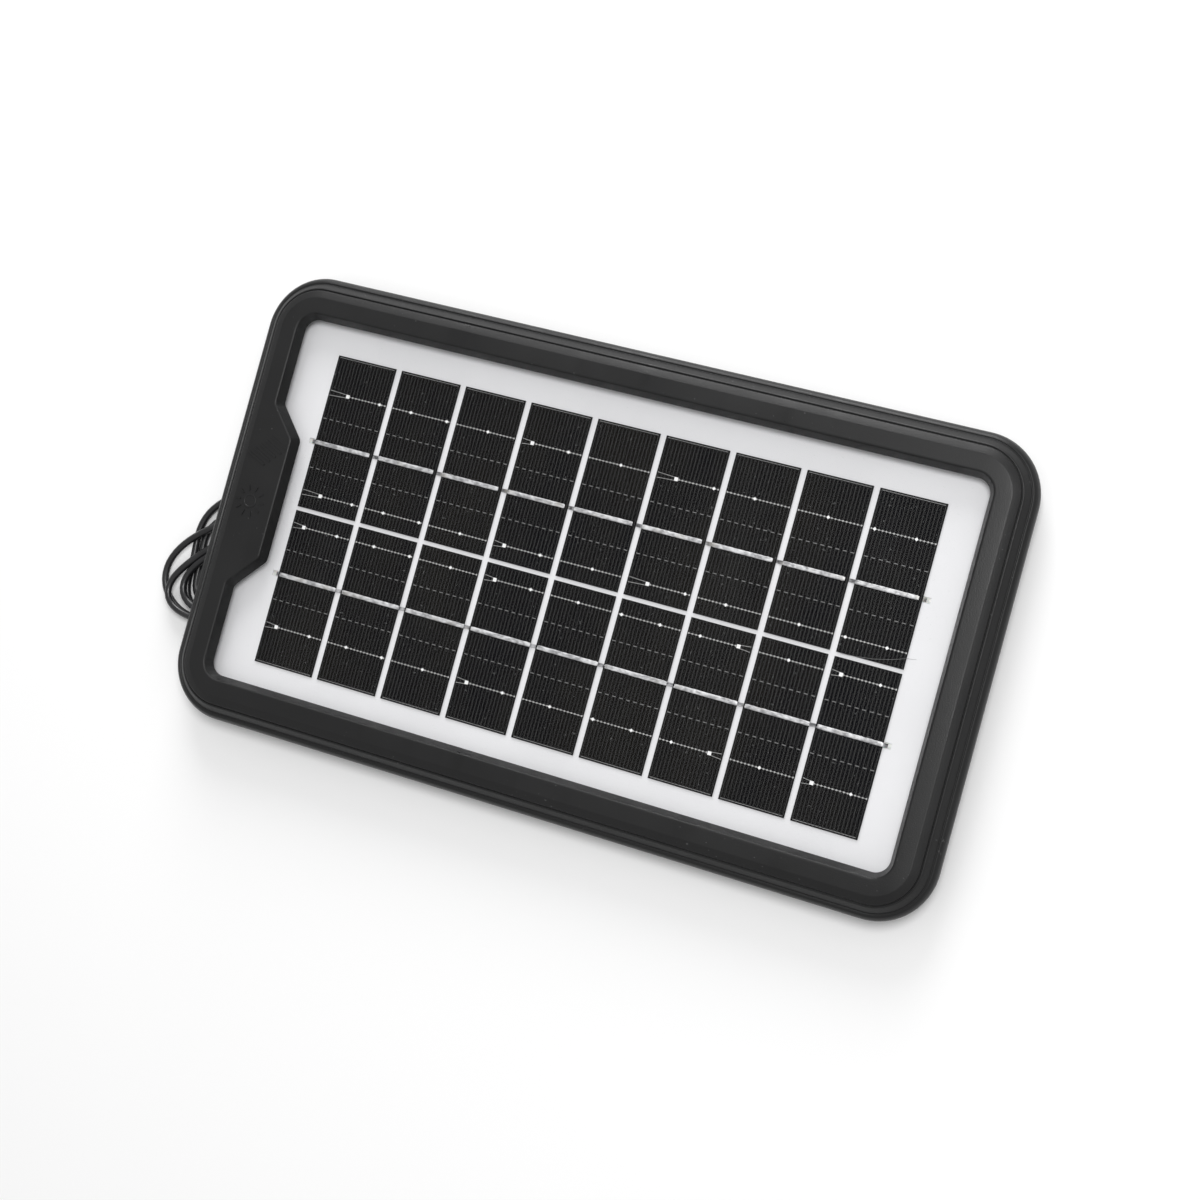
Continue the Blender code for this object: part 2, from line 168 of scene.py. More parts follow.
def relief(material, shader, height, distance, strength=1.0):
    bump = addNode(material, "Bump", Strength=strength, Distance=distance)
    join(material, height, bump.inputs["Height"])
    join(material, bump.outputs["Normal"], shader.inputs["Normal"])


# materials

def sparkErodedPlastic(name, colour, worn, roughness, grainSize=0.00035, wear=1.0, shine=0.34):
    # moulded plastic with a fine matt texture, rubbed patches and a few pale specks
    material, shader = startMaterial(name, colour, roughness, 0.0, shine)
    fine = grain(material, grainSize, 2.0)
    broad = grain(material, 0.030, 4.0)
    rubbed = remap(material, grain(material, 0.012, 6.0, (1.0, 0.25, 1.0), 20), 0.56, 0.74)
    specks = remap(material, grain(material, 0.0012, 1.0), 0.74, 0.77)
    patches = remap(material, grain(material, 0.022, 2.0), 0.48, 0.60)
    specks = combine(material, "MULTIPLY", specks, patches)
    base = mixColours(material, remap(material, broad, 0.3, 0.7, 0.0, 0.45), colour, worn)
    pale = tuple(min(1.0, 3.5 * value + 0.02) for value in worn)
    join(material, mixColours(material, combine(material, "MULTIPLY", specks, 0.8 * wear), base, pale),
         shader.inputs["Base Color"])
    rough = remap(material, broad, 0.3, 0.7, roughness - 0.04, roughness + 0.06)
    rough = combine(material, "SUBTRACT", rough, combine(material, "MULTIPLY", rubbed, 0.12 * wear))
    rough = combine(material, "ADD", rough, remap(material, fine, 0.3, 0.7, -0.03, 0.03))
    join(material, rough, shader.inputs["Roughness"])
    height = combine(material, "ADD", fine, combine(material, "MULTIPLY", broad, 0.4))
    relief(material, shader, height, 0.00006, 0.8)
    return material


def siliconFace():
    # near-black wafer with faint cloudy bands and a very fine etch
    material, shader = startMaterial("siliconFace", (0.003, 0.003, 0.0035), 0.3, 0.0, 0.06)
    clouds = grain(material, 0.020, 3.0, (1.0, 0.35, 1.0))
    etch = grain(material, 0.00025, 1.0)
    join(material, mixColours(material, remap(material, clouds, 0.35, 0.65), (0.0030, 0.0030, 0.0040),
                              (0.0062, 0.0056, 0.0050)), shader.inputs["Base Color"])
    join(material, combine(material, "ADD", remap(material, clouds, 0.3, 0.7, 0.24, 0.34),
                           remap(material, etch, 0.3, 0.7, -0.04, 0.04)), shader.inputs["Roughness"])
    relief(material, shader, etch, 0.00001, 0.35)
    return material


def silverPaste(name, dark, light, grainSize=0.0004, shine=0.5):
    # fired silver paste: chalky, with pinholes
    material, shader = startMaterial(name, light, 0.5, 0.15, shine)
    pits = grain(material, grainSize, 2.0)
    tone = mixColours(material, remap(material, pits, 0.35, 0.65), dark, light)
    join(material, tone, shader.inputs["Base Color"])
    join(material, remap(material, pits, 0.3, 0.7, 0.38, 0.6), shader.inputs["Roughness"])
    relief(material, shader, pits, 0.00001, 0.2)
    return material


def tinnedRibbon(name, dull, shiny):
    # solder-coated copper ribbon, bright and mottled where the solder froze
    material, shader = startMaterial(name, shiny, 0.4, 0.6)
    frozen = grain(material, 0.0011, 4.0, (0.6, 1.0, 1.0))
    fine = grain(material, 0.00022, 2.0)
    flux = remap(material, grain(material, 0.004, 2.0), 0.55, 0.72)
    bright = mixColours(material, remap(material, frozen, 0.35, 0.62), dull, shiny)
    tone = mixColours(material, combine(material, "MULTIPLY", flux, 0.45), bright, (0.40, 0.38, 0.34))
    join(material, tone, shader.inputs["Base Color"])
    join(material, remap(material, frozen, 0.3, 0.7, 0.32, 0.58), shader.inputs["Roughness"])
    height = combine(material, "ADD", frozen, combine(material, "MULTIPLY", fine, 0.3))
    relief(material, shader, height, 0.00012, 0.8)
    return material


def whiteFilm(name, colour, roughness, cellMarks=0.0):
    # white laminate film: faint cloudiness, calendered grain and, on the back, the cells showing through
    material, shader = startMaterial(name, colour, roughness)
    cloud = grain(material, 0.035, 3.0)
    weave = grain(material, 0.0007, 2.0)
    shade = tuple(0.955 * value for value in colour)
    base = mixColours(material, remap(material, cloud, 0.35, 0.65), colour, shade)
    height = combine(material, "MULTIPLY", weave, 0.12)
    if cellMarks:
        place = addNode(material, "TexCoord")
        mapping = addNode(material, "Mapping")
        mapping.inputs["Location"].default_value = (-cellGrid["firstLeft"] * mm, -cellGrid["lowest"] * mm, 0)
        bricks = addNode(material, "TexBrick", Scale=1.0)
        bricks.offset = 0.0
        bricks.inputs["Color1"].default_value = (1, 1, 1, 1)
        bricks.inputs["Color2"].default_value = (1, 1, 1, 1)
        bricks.inputs["Mortar"].default_value = (0, 0, 0, 1)
        bricks.inputs["Mortar Size"].default_value = 0.5 * (cellGrid["pitch"] - cellGrid["width"]) * mm
        bricks.inputs["Mortar Smooth"].default_value = 0.8
        bricks.inputs["Brick Width"].default_value = cellGrid["pitch"] * mm
        bricks.inputs["Row Height"].default_value = (cellGrid["length"] + cellGrid["stringGap"]) * mm
        join(material, place.outputs["Object"], mapping.inputs["Vector"])
        join(material, mapping.outputs["Vector"], bricks.inputs["Vector"])
        marks = remap(material, bricks.outputs["Fac"], 0.0, 1.0, 1.0, 0.0)
        height = combine(material, "ADD", height, combine(material, "MULTIPLY", marks, cellMarks))
        base = mixColours(material, remap(material, marks, 0.0, 1.0, 0.0, 0.35), base, (0.70, 0.70, 0.71))
    join(material, base, shader.inputs["Base Color"])
    rough = remap(material, cloud, 0.3, 0.7, roughness - 0.05, roughness + 0.08)
    join(material, rough, shader.inputs["Roughness"])
    relief(material, shader, height, 0.00022, 0.7)
    return material


def clearGlass():
    # clear face: nearly nothing straight on, bright at a glancing angle, with smears and fine scratches
    material, shader = startMaterial("clearGlass", (0.90, 0.92, 0.92), 0.06, 1.0)
    facing = addNode(material, "LayerWeight", Blend=0.5)
    edge = combine(material, "POWER", facing.outputs["Facing"], 5.0)
    smear = remap(material, grain(material, 0.030, 5.0, (1.0, 0.3, 1.0), -35), 0.55, 0.80)
    lines = remap(material, grain(material, 0.0016, 1.0, (1.0, 0.02, 1.0), 28), 0.76, 0.80)
    lines = combine(material, "MULTIPLY", lines, remap(material, grain(material, 0.018, 2.0), 0.56, 0.66))
    dust = remap(material, grain(material, 0.0009, 0.0), 0.81, 0.83)
    marks = combine(material, "ADD", combine(material, "MULTIPLY", smear, 0.007),
                    combine(material, "MULTIPLY", lines, 0.025))
    marks = combine(material, "ADD", marks, combine(material, "MULTIPLY", dust, 0.12))
    shine = combine(material, "ADD", combine(material, "MULTIPLY", edge, 0.9), 0.006)
    seen = addNode(material, "NewGeometry")
    front = combine(material, "SUBTRACT", 1.0, seen.outputs["Backfacing"])
    total = combine(material, "MULTIPLY", combine(material, "ADD", shine, marks), front)
    total = combine(material, "ADD", total, 0.002)
    join(material, total, shader.inputs["Alpha"])
    join(material, combine(material, "ADD", remap(material, smear, 0.0, 1.0, 0.05, 0.30),
                           combine(material, "MULTIPLY", lines, 0.3)), shader.inputs["Roughness"])
    return material


def cableRubber(name, colour, roughness):
    # soft glossy sheath with a faint orange peel and dull rub marks
    material, shader = startMaterial(name, colour, roughness)
    peel = grain(material, 0.0009, 2.0)
    dull = remap(material, grain(material, 0.010, 4.0), 0.48, 0.66)
    worn = tuple(1.9 * value + 0.004 for value in colour)
    join(material, mixColours(material, combine(material, "MULTIPLY", dull, 0.6), colour, worn),
         shader.inputs["Base Color"])
    rough = remap(material, peel, 0.3, 0.7, roughness - 0.03, roughness + 0.03)
    rough = combine(material, "ADD", rough, combine(material, "MULTIPLY", dull, 0.14))
    join(material, rough, shader.inputs["Roughness"])
    relief(material, shader, peel, 0.00003, 0.5)
    shader.inputs["Coat Weight"].default_value = 0.15
    shader.inputs["Coat Roughness"].default_value = 0.25
    return material


def turnedMetal(name, dark, light, roughness):
    # plated metal with fine circular tool marks and slight tarnish
    material, shader = startMaterial(name, light, roughness, 1.0)
    marks = grain(material, 0.00025, 2.0)
    tarnish = remap(material, grain(material, 0.0030, 4.0), 0.40, 0.70)
    join(material, mixColours(material, tarnish, light, dark), shader.inputs["Base Color"])
    rough = remap(material, marks, 0.3, 0.7, roughness - 0.05, roughness + 0.06)
    rough = combine(material, "ADD", rough, combine(material, "MULTIPLY", tarnish, 0.12))
    join(material, rough, shader.inputs["Roughness"])
    relief(material, shader, marks, 0.00002, 0.4)
    return material


def foamRubber():
    material, shader = startMaterial("foamRubber", (0.022, 0.022, 0.022), 0.9)
    cells = addNode(material, "TexVoronoi", Scale=3200.0)
    place = addNode(material, "TexCoord")
    join(material, place.outputs["Object"], cells.inputs["Vector"])
    tone = mixColours(material, cells.outputs["Distance"], (0.012, 0.012, 0.012), (0.040, 0.040, 0.040))
    join(material, tone, shader.inputs["Base Color"])
    relief(material, shader, cells.outputs["Distance"], 0.00010, 0.8)
    return material


def silicone():
    # cured sealant, milky and slightly wet
    material, shader = startMaterial("clearSilicone", (0.62, 0.62, 0.60), 0.28)
    skin = grain(material, 0.0022, 3.0)
    tone = mixColours(material, remap(material, skin, 0.35, 0.65), (0.55, 0.55, 0.53), (0.70, 0.70, 0.68))
    join(material, tone, shader.inputs["Base Color"])
    join(material, remap(material, skin, 0.3, 0.7, 0.20, 0.38), shader.inputs["Roughness"])
    relief(material, shader, skin, 0.00025, 0.6)
    shader.inputs["Subsurface Weight"].default_value = 0.15
    shader.inputs["Subsurface Scale"].default_value = 0.002
    return material


def paleFloor():
    material, shader = startMaterial("paleFloor", studio["floorColour"], 0.9)
    soft = grain(material, 0.5, 2.0)
    near = tuple(0.99 * value for value in studio["floorColour"])
    join(material, mixColours(material, soft, studio["floorColour"], near), shader.inputs["Base Color"])
    return material


# mesh helpers

def metres(*values):
    # millimetres to metres
    return tuple(value * mm for value in values)


def addPiece(name, mesh, material=None):
    piece = bpy.data.objects.new(name, mesh)
    bpy.context.scene.collection.objects.link(piece)
    if material is not None:
        mesh.materials.clear()
        mesh.materials.append(material)
    return piece


def soften(mesh, sharp):
    mesh.shade_smooth()
    mesh.set_sharp_from_angle(angle=math.radians(sharp))


def loft(work, rings, closed=False):
    # faces between neighbouring rings of (x, y, z) points in millimetres, and over the ends of an open run
    rows = [[work.verts.new(Vector(point) * mm) for point in ring] for ring in rings]
    pairs = list(zip(rows, rows[1:]))
    if closed:
        pairs.append((rows[-1], rows[0]))
    else:
        work.faces.new(rows[0])
        work.faces.new(rows[-1])
    count = len(rows[0])
    for low, high in pairs:
        for index in range(count):
            after = (index + 1) % count
            work.faces.new((low[index], low[after], high[after], high[index]))


def meshFrom(name, work):
    mesh = bpy.data.meshes.new(name)
    work.to_mesh(mesh)
    work.free()
    return mesh


def fromRings(name, rings, material, closed=False, sharp=42):
    # one smooth body through the rings
    work = bmesh.new()
    loft(work, rings, closed)
    bmesh.ops.remove_doubles(work, verts=work.verts, dist=0.000001)
    bmesh.ops.recalc_face_normals(work, faces=work.faces)
    mesh = meshFrom(name, work)
    soften(mesh, sharp)
    return addPiece(name, mesh, material)


def easeCorners(profile, radius, steps=4, loop=True):
    # rounds each corner of a profile; what follows a point's two numbers goes to all points of its corner
    eased = []
    count = len(profile)
    for index, (across, height, *extra) in enumerate(profile):
        here = Vector((across, height))
        if not loop and index in (0, count - 1):
            eased.append((across, height, *extra))
            continue
        before = Vector(profile[index - 1][:2]) - here
        after = Vector(profile[(index + 1) % count][:2]) - here
        start = here + before.normalized() * min(radius, 0.42 * before.length)
        end = here + after.normalized() * min(radius, 0.42 * after.length)
        for step in range(steps + 1):
            t = step / steps
            point = start * (1 - t) ** 2 + here * (2 * t * (1 - t)) + end * t * t
            eased.append((point.x, point.y, *extra))
    return eased


def roundedOutline(halfX, halfY, radius, centre=(0.0, 0.0), steps=20):
    points = []
    for quarter, (sx, sy) in enumerate(((1, -1), (1, 1), (-1, 1), (-1, -1))):
        for step in range(steps + 1):
            angle = math.radians(90 * (quarter - 1) + 90 * step / steps)
            points.append((centre[0] + sx * (halfX - radius) + radius * math.cos(angle),
                           centre[1] + sy * (halfY - radius) + radius * math.sin(angle)))
    return points


def turned(name, profile, start, axis, material, sides=32, sharp=42, closed=False):
    # a lathe piece: profile of (distance along the axis, radius) in millimetres
    direction = Vector(axis).normalized()
    first = direction.orthogonal().normalized()
    second = direction.cross(first)
    rings = []
    for along, radius in profile:
        ring = []
        for step in range(sides):
            angle = 2 * math.pi * step / sides
            ring.append(Vector(start) + direction * along
                        + (first * math.cos(angle) + second * math.sin(angle)) * radius)
        rings.append(ring)
    return fromRings(name, rings, material, closed, sharp)


def tubeAlong(name, points, radius, material, sides=10):
    # a tube through points in millimetres, its ends rounded in
    rings = []
    path = [Vector(point) for point in points]
    side = None
    for index, point in enumerate(path):
        run = (path[min(index + 1, len(path) - 1)] - path[max(index - 1, 0)]).normalized()
        side = run.orthogonal() if side is None else side - run * side.dot(run)
        side.normalize()
        up = run.cross(side)
        reach = radius * (0.55 if index in (0, len(path) - 1) else 1.0)
        rings.append([point + (side * math.cos(a) + up * math.sin(a)) * reach
                      for a in (2 * math.pi * step / sides for step in range(sides))])
    return fromRings(name, rings, material, sharp=60)


def bakeModifier(piece):
    # keeps the result of the piece's modifier as its plain mesh
    bpy.context.view_layer.update()
    result = bpy.data.meshes.new_from_object(piece.evaluated_get(bpy.context.evaluated_depsgraph_get()))
    piece.modifiers.clear()
    piece.data = result


def cutWith(piece, cutter):
    change = piece.modifiers.new("cut", "BOOLEAN")
    change.operation = "DIFFERENCE"
    change.solver = "EXACT"
    change.object = cutter
    bakeModifier(piece)
    bpy.data.objects.remove(cutter)


def blockTool(low, high):
    work = bmesh.new()
    corners = [work.verts.new(Vector((x, y, z)) * mm) for z in (low[2], high[2])
               for x, y in ((low[0], low[1]), (high[0], low[1]), (high[0], high[1]), (low[0], high[1]))]
    for face in ((0, 3, 2, 1), (4, 5, 6, 7), (0, 1, 5, 4), (1, 2, 6, 5), (2, 3, 7, 6), (3, 0, 4, 7)):
        work.faces.new([corners[index] for index in face])
    return addPiece("cutTool", meshFrom("cutTool", work))


def onPanel(piece, slotName, *nodes):
    # the piece belongs to the panel's single body and stands for these parts
    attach(piece, "root")
    if nodes:
        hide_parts(*nodes)


# geometry node helpers

def startTree(name, sockets):
    # a tree with these inputs, a function that adds a node to it, and one that closes it
    tree = bpy.data.node_groups.new(name, "GeometryNodeTree")
    for label, kind in {"Geometry": "Geometry", **sockets, "Material": "Material"}.items():
        tree.interface.new_socket(label, in_out="INPUT", socket_type="NodeSocket" + kind)
    tree.interface.new_socket("Geometry", in_out="OUTPUT", socket_type="NodeSocketGeometry")
    given = tree.nodes.new("NodeGroupInput")

    def add(kind, feeds=None, **settings):
        # a feed is the name of a tree's input, another node or its output, or a plain value
        node = tree.nodes.new(kind if kind.startswith(("Function", "Shader")) else "GeometryNode" + kind)
        for key, value in settings.items():
            setattr(node, key, value)
        for label, source in (feeds or {}).items():
            if isinstance(source, str):
                source = given.outputs[source]
            elif isinstance(source, bpy.types.Node):
                source = source.outputs[0]
            if isinstance(source, bpy.types.NodeSocket):
                tree.links.new(source, node.inputs[label])
            else:
                node.inputs[label].default_value = source
        return node

    def endWith(geometry):
        realize = add("RealizeInstances", {"Geometry": geometry})
        paint = add("SetMaterial", {"Geometry": realize, "Material": "Material"})
        tree.links.new(paint.outputs[0], tree.nodes.new("NodeGroupOutput").inputs["Geometry"])

    return tree, add, endWith


def grow(name, tree, settings, seedMesh=None, sharp=40):
    # runs a tree on an object and keeps the result as a plain mesh
    piece = addPiece(name, seedMesh or bpy.data.meshes.new(name))
    modifier = piece.modifiers.new(name, "NODES")
    modifier.node_group = tree
    for socket in tree.interface.items_tree:
        if socket.in_out == "INPUT" and socket.name in settings:
            modifier[socket.identifier] = settings[socket.name]
    bakeModifier(piece)
    soften(piece.data, sharp)
    return piece


def pointMesh(name, points):
    mesh = bpy.data.meshes.new(name)
    mesh.from_pydata([metres(*point) for point in points], [], [])
    return mesh


def barGridTree():
    # bars in groups: a row of groups, and a row of bars in each
    tree, add, endWith = startTree("barGrid", {
        "Groups": "Int", "Group Step": "Vector", "Bars": "Int", "Bar Step": "Vector", "First Bar": "Vector",
        "Bar Size": "Vector", "Turn": "Vector", "Place": "Vector"})
    groups = add("MeshLine", {"Count": "Groups", "Offset": "Group Step", "Start Location": "First Bar"},
                 mode="OFFSET")
    bars = add("MeshLine", {"Count": "Bars", "Offset": "Bar Step"}, mode="OFFSET")
    spread = add("InstanceOnPoints", {"Points": groups, "Instance": bars})
    spots = add("RealizeInstances", {"Geometry": spread})
    fill = add("InstanceOnPoints", {"Points": spots, "Instance": add("MeshCube", {"Size": "Bar Size"})})
    endWith(add("Transform", {"Geometry": fill, "Rotation": "Turn", "Translation": "Place"}))
    return tree


def padTree():
    # low round or square pads on the points of a mesh
    tree, add, endWith = startTree("padSpots", {
        "Sides": "Int", "Pad Radius": "Float", "Pad Height": "Float", "Turn": "Vector"})
    pad = add("MeshCylinder", {"Vertices": "Sides", "Radius": "Pad Radius", "Depth": "Pad Height"})
    endWith(add("InstanceOnPoints", {"Points": "Geometry", "Instance": pad, "Rotation": "Turn"}))
    return tree


def blobTree():
    # frozen solder beads scattered a little off the points of a mesh
    tree, add, endWith = startTree("solderBeads", {
        "Seed": "Int", "Keep": "Float", "Wander": "Vector", "Smallest": "Vector", "Largest": "Vector"})
    chance = add("FunctionNodeRandomValue", {"Probability": "Keep", "Seed": "Seed"}, data_type="BOOLEAN")
    back = add("ShaderNodeVectorMath", {0: "Wander", "Scale": -1.0}, operation="SCALE")
    drift = add("FunctionNodeRandomValue", {0: back, 1: "Wander", "Seed": "Seed"}, data_type="FLOAT_VECTOR")
    size = add("FunctionNodeRandomValue", {0: "Smallest", 1: "Largest", "Seed": "Seed"},
               data_type="FLOAT_VECTOR")
    moved = add("SetPosition", {"Geometry": "Geometry", "Offset": drift})
    bead = add("MeshUVSphere", {"Segments": 8, "Rings": 5, "Radius": 1.0})
    endWith(add("InstanceOnPoints", {"Points": moved, "Selection": chance.outputs[3], "Instance": bead,
                                     "Scale": size}))
    return tree


def ringRowTree():
    # a row of rings round an axis along X, growing from one radius to another
    tree, add, endWith = startTree("ringRow", {
        "Rings": "Int", "Ring Step": "Float", "First Radius": "Float", "Radius Step": "Float",
        "Wire Radius": "Float", "Start": "Vector"})
    step = add("ShaderNodeCombineXYZ", {"X": "Ring Step"})
    row = add("MeshLine", {"Count": "Rings", "Offset": step, "Start Location": "Start"}, mode="OFFSET")
    circle = add("CurvePrimitiveCircle", {"Resolution": 28, "Radius": 1.0})
    grown = add("ShaderNodeMath", {0: add("InputIndex"), 1: "Radius Step", 2: "First Radius"},
                operation="MULTIPLY_ADD")
    hoops = add("InstanceOnPoints", {"Points": row, "Instance": circle, "Rotation": (0, math.pi / 2, 0),
                                     "Scale": grown})
    loose = add("RealizeInstances", {"Geometry": hoops})
    wire = add("CurvePrimitiveCircle", {"Resolution": 8, "Radius": "Wire Radius"})
    endWith(add("CurveToMesh", {"Curve": loose, "Profile Curve": wire}))
    return tree


def sunTree():
    # rays round a centre, each pointing outwards
    tree, add, endWith = startTree("sunRays", {
        "Rays": "Int", "Ray Circle": "Float", "Ray Size": "Vector", "Place": "Vector"})
    ring = add("MeshCircle", {"Vertices": "Rays", "Radius": "Ray Circle"})
    ray = add("MeshCube", {"Size": "Ray Size"})
    aim = add("FunctionNodeAlignRotationToVector", {"Vector": add("InputPosition")}, axis="X")
    fill = add("InstanceOnPoints", {"Points": ring, "Instance": ray, "Rotation": aim})
    endWith(add("Transform", {"Geometry": fill, "Translation": "Place"}))
    return tree


def copyTree():
    # copies of one object on the points of a mesh, each turned its own way
    tree, add, endWith = startTree("turnedCopies", {"Original": "Object", "Seed": "Int"})
    original = add("ObjectInfo", {"Object": "Original"})
    angle = add("FunctionNodeRandomValue", {3: math.pi / 2, "Seed": "Seed"}, data_type="FLOAT")
    turn = add("ShaderNodeCombineXYZ", {"Z": angle.outputs[1]})
    endWith(add("InstanceOnPoints", {"Points": "Geometry", "Instance": original.outputs["Geometry"],
                                     "Rotation": turn}))
    return tree


# sizes that several pieces share, in millimetres

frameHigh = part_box("front_frame")[1] / mm
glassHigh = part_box("cover_glass")[1] / mm
firstCell = [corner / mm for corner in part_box("cell_a1")]
secondCell = [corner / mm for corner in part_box("cell_a2")]
lowerCell = [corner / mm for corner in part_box("cell_b1")]

cellGrid = {
    "count": 9,
    "firstLeft": firstCell[0].x,
    "pitch": secondCell[0].x - firstCell[0].x,
    "width": firstCell[1].x - firstCell[0].x,
    "length": firstCell[1].y - firstCell[0].y,
    "stringGap": firstCell[0].y - lowerCell[1].y,
    "highest": firstCell[1].y,
    "lowest": lowerCell[0].y,
    "face": firstCell[1].z,
}

frameShape = {
    "halfX": frameHigh.x,
    "halfY": frameHigh.y,
    "cornerRadius": 20.5,
    "windowOffset": 15.45,
    "tabReach": 9.7,
    "tabHalfFlat": 21.9,
    "tabRamp": 11.0,
    "tabRound": 1.1,
    "outlet": (-53.5, 5.0),          # along Y, the cable outlet in the left rim
    "screwOffset": 7.4,
}


def tabOutline(offset):
    slope = math.atan2(frameShape["tabReach"], frameShape["tabRamp"])
    mitre = (offset - frameShape["windowOffset"]) * math.tan(slope / 2)
    left = -frameShape["halfX"] + offset
    outer = Vector((left, frameShape["tabHalfFlat"] + frameShape["tabRamp"] + mitre))
    inner = Vector((left + frameShape["tabReach"], frameShape["tabHalfFlat"] + mitre))
    along = (inner - outer).normalized() * frameShape["tabRound"]
    down = Vector((0.0, -frameShape["tabRound"]))
    upper = []
    for corner, before, after in ((outer, -down, along), (inner, -along, down)):
        start, end = corner + before, corner + after
        for t in (0.0, 0.25, 0.5, 0.75, 1.0):
            upper.append(start * (1 - t) ** 2 + corner * (2 * t * (1 - t)) + end * t * t)
    return upper + [Vector((point.x, -point.y)) for point in reversed(upper)]


def frameOutline(offset, onTab):
    corners = roundedOutline(frameShape["halfX"] - offset, frameShape["halfY"] - offset,
                             frameShape["cornerRadius"] - offset)
    bulge = [(point.x, point.y) for point in tabOutline(offset)]
    if not onTab:
        bulge = [(-frameShape["halfX"] + offset, point.y) for point in tabOutline(frameShape["windowOffset"])]
    third = 3 * len(corners) // 4
    return corners[:third] + bulge + corners[third:]


def sweepFrame(name, profile, material):
    rings = [[(x, y, height) for x, y in frameOutline(offset, onTab)] for offset, height, onTab in profile]
    return fromRings(name, rings, material, closed=True, sharp=50)


# the cable

cable = {
    "diameter": 2.5,
    "length": 2.75,                  # metres, straightened
    "exit": (-50.0, 21.0, 4.8),
    "layers": {"low": 1.45, "high": 4.0},
    "lie": 2.58,                     # between neighbouring strands
    "tie": (-61.5, -24.7),
    "tieLift": 0.9,
    "top": 4.15,
}

leadRoute = [
    (-49.7, 21.0, 4.8), (-44.0, 21.0, 4.7), (-34.0, 20.8, 3.4), (-22.0, 20.4, 1.8), (-8.0, 20.0, 1.45),
    (8.0, 20.4, 1.45), (24.0, 20.6, 1.45), (40.0, 18.2, 1.45), (50.5, 11.0, 1.45), (52.5, 1.5, 1.45),
    (46.0, -6.4, 1.45), (35.0, -9.8, 1.45), (22.3, -10.2, 1.45)]
tailRoute = [
    (22.3, -39.2, 1.45), (32.0, -39.3, 1.45), (43.0, -41.0, 1.45), (54.0, -44.6, 1.7), (63.0, -47.2, 2.6),
    (69.0, -48.0, 3.6), (74.7, -48.0, 3.9)]
upperEdge = [
    (6, -8.85), (-10, -10.05), (-28, -13.25), (-45, -16.05), (-61.5, -16.97), (-78, -15.05), (-95, -8.5)]
lowerEdge = [
    (6, -40.65), (-10, -39.35), (-28, -36.25), (-45, -33.25), (-61.5, -32.45), (-78, -33.35), (-95, -36.9)]

# each turn: the layer and place of its upper and lower runs, and its way round the left end
turns = [
    {"upper": ("low", 0), "lower": ("low", 1), "round": [
        (-112, -1.5), (-128, 0.9), (-139.5, -1.5), (-144.9, -5.7), (-149.3, -11.0), (-150.9, -16.5),
        (-149.9, -22.0), (-148.4, -27.4), (-148.9, -33.0), (-149.8, -38.8), (-148.6, -43.5),
        (-144.5, -46.2), (-136.0, -46.3), (-128.0, -44.1), (-112.0, -39.7)]},
    {"upper": ("low", 1), "lower": ("low", 2), "round": [
        (-112, -5.0), (-128, -3.5), (-139.5, -8.7), (-144.9, -12.9), (-148.0, -16.4), (-147.9, -20.5),
        (-146.0, -26.0), (-145.6, -32.0), (-146.9, -37.5), (-145.4, -42.0), (-141.0, -43.9), (-136.0, -43.7),
        (-128.0, -41.5), (-112.0, -37.1)]},
    {"upper": ("low", 2), "lower": ("low", 3), "round": [
        (-112, -10.0), (-128, -12.0), (-137.5, -18.0), (-141.5, -25.0), (-143.0, -32.0), (-141.5, -37.5),
        (-137.5, -40.5), (-128.0, -38.9), (-112.0, -34.5)]},
    {"upper": ("high", 3), "lower": ("high", 2), "round": [
        (-112, -15.5), (-128, -19.0), (-138.5, -24.5), (-143.6, -30.0), (-145.2, -35.2), (-143.6, -39.6),
        (-140.0, -42.2), (-135.5, -42.6), (-128.0, -41.5), (-112.0, -37.1)]},
    {"upper": ("high", 2), "lower": ("high", 1), "round": [
        (-112, -12.5), (-128, -16.0), (-139.5, -22.6), (-146.0, -28.6), (-150.0, -34.3), (-150.9, -39.2),
        (-149.0, -43.2), (-144.6, -45.6), (-136.0, -45.6), (-128.0, -44.1), (-112.0, -39.7)]},
    {"upper": ("high", 1), "lower": ("high", 0), "round": [
        (-112, -7.5), (-128, -12.0), (-139.5, -20.5), (-145.4, -25.9), (-151.2, -32.0), (-155.4, -37.6),
        (-156.6, -41.8), (-154.8, -45.6), (-150.4, -48.0), (-144.5, -48.9), (-136.0, -48.6), (-128.0, -46.7),
        (-112.0, -42.3)]},
    {"upper": ("high", 0), "lower": ("low", 0), "round": [
        (-112, -3.0), (-128, -5.5), (-139.5, -12.5), (-144.9, -16.6), (-150.5, -20.6), (-157.0, -28.2),
        (-159.3, -35.4), (-157.9, -41.2), (-154.0, -45.4), (-149.5, -48.2), (-144.1, -49.0), (-136.0, -48.9),
        (-128.0, -46.7), (-112.0, -42.3)]},
]


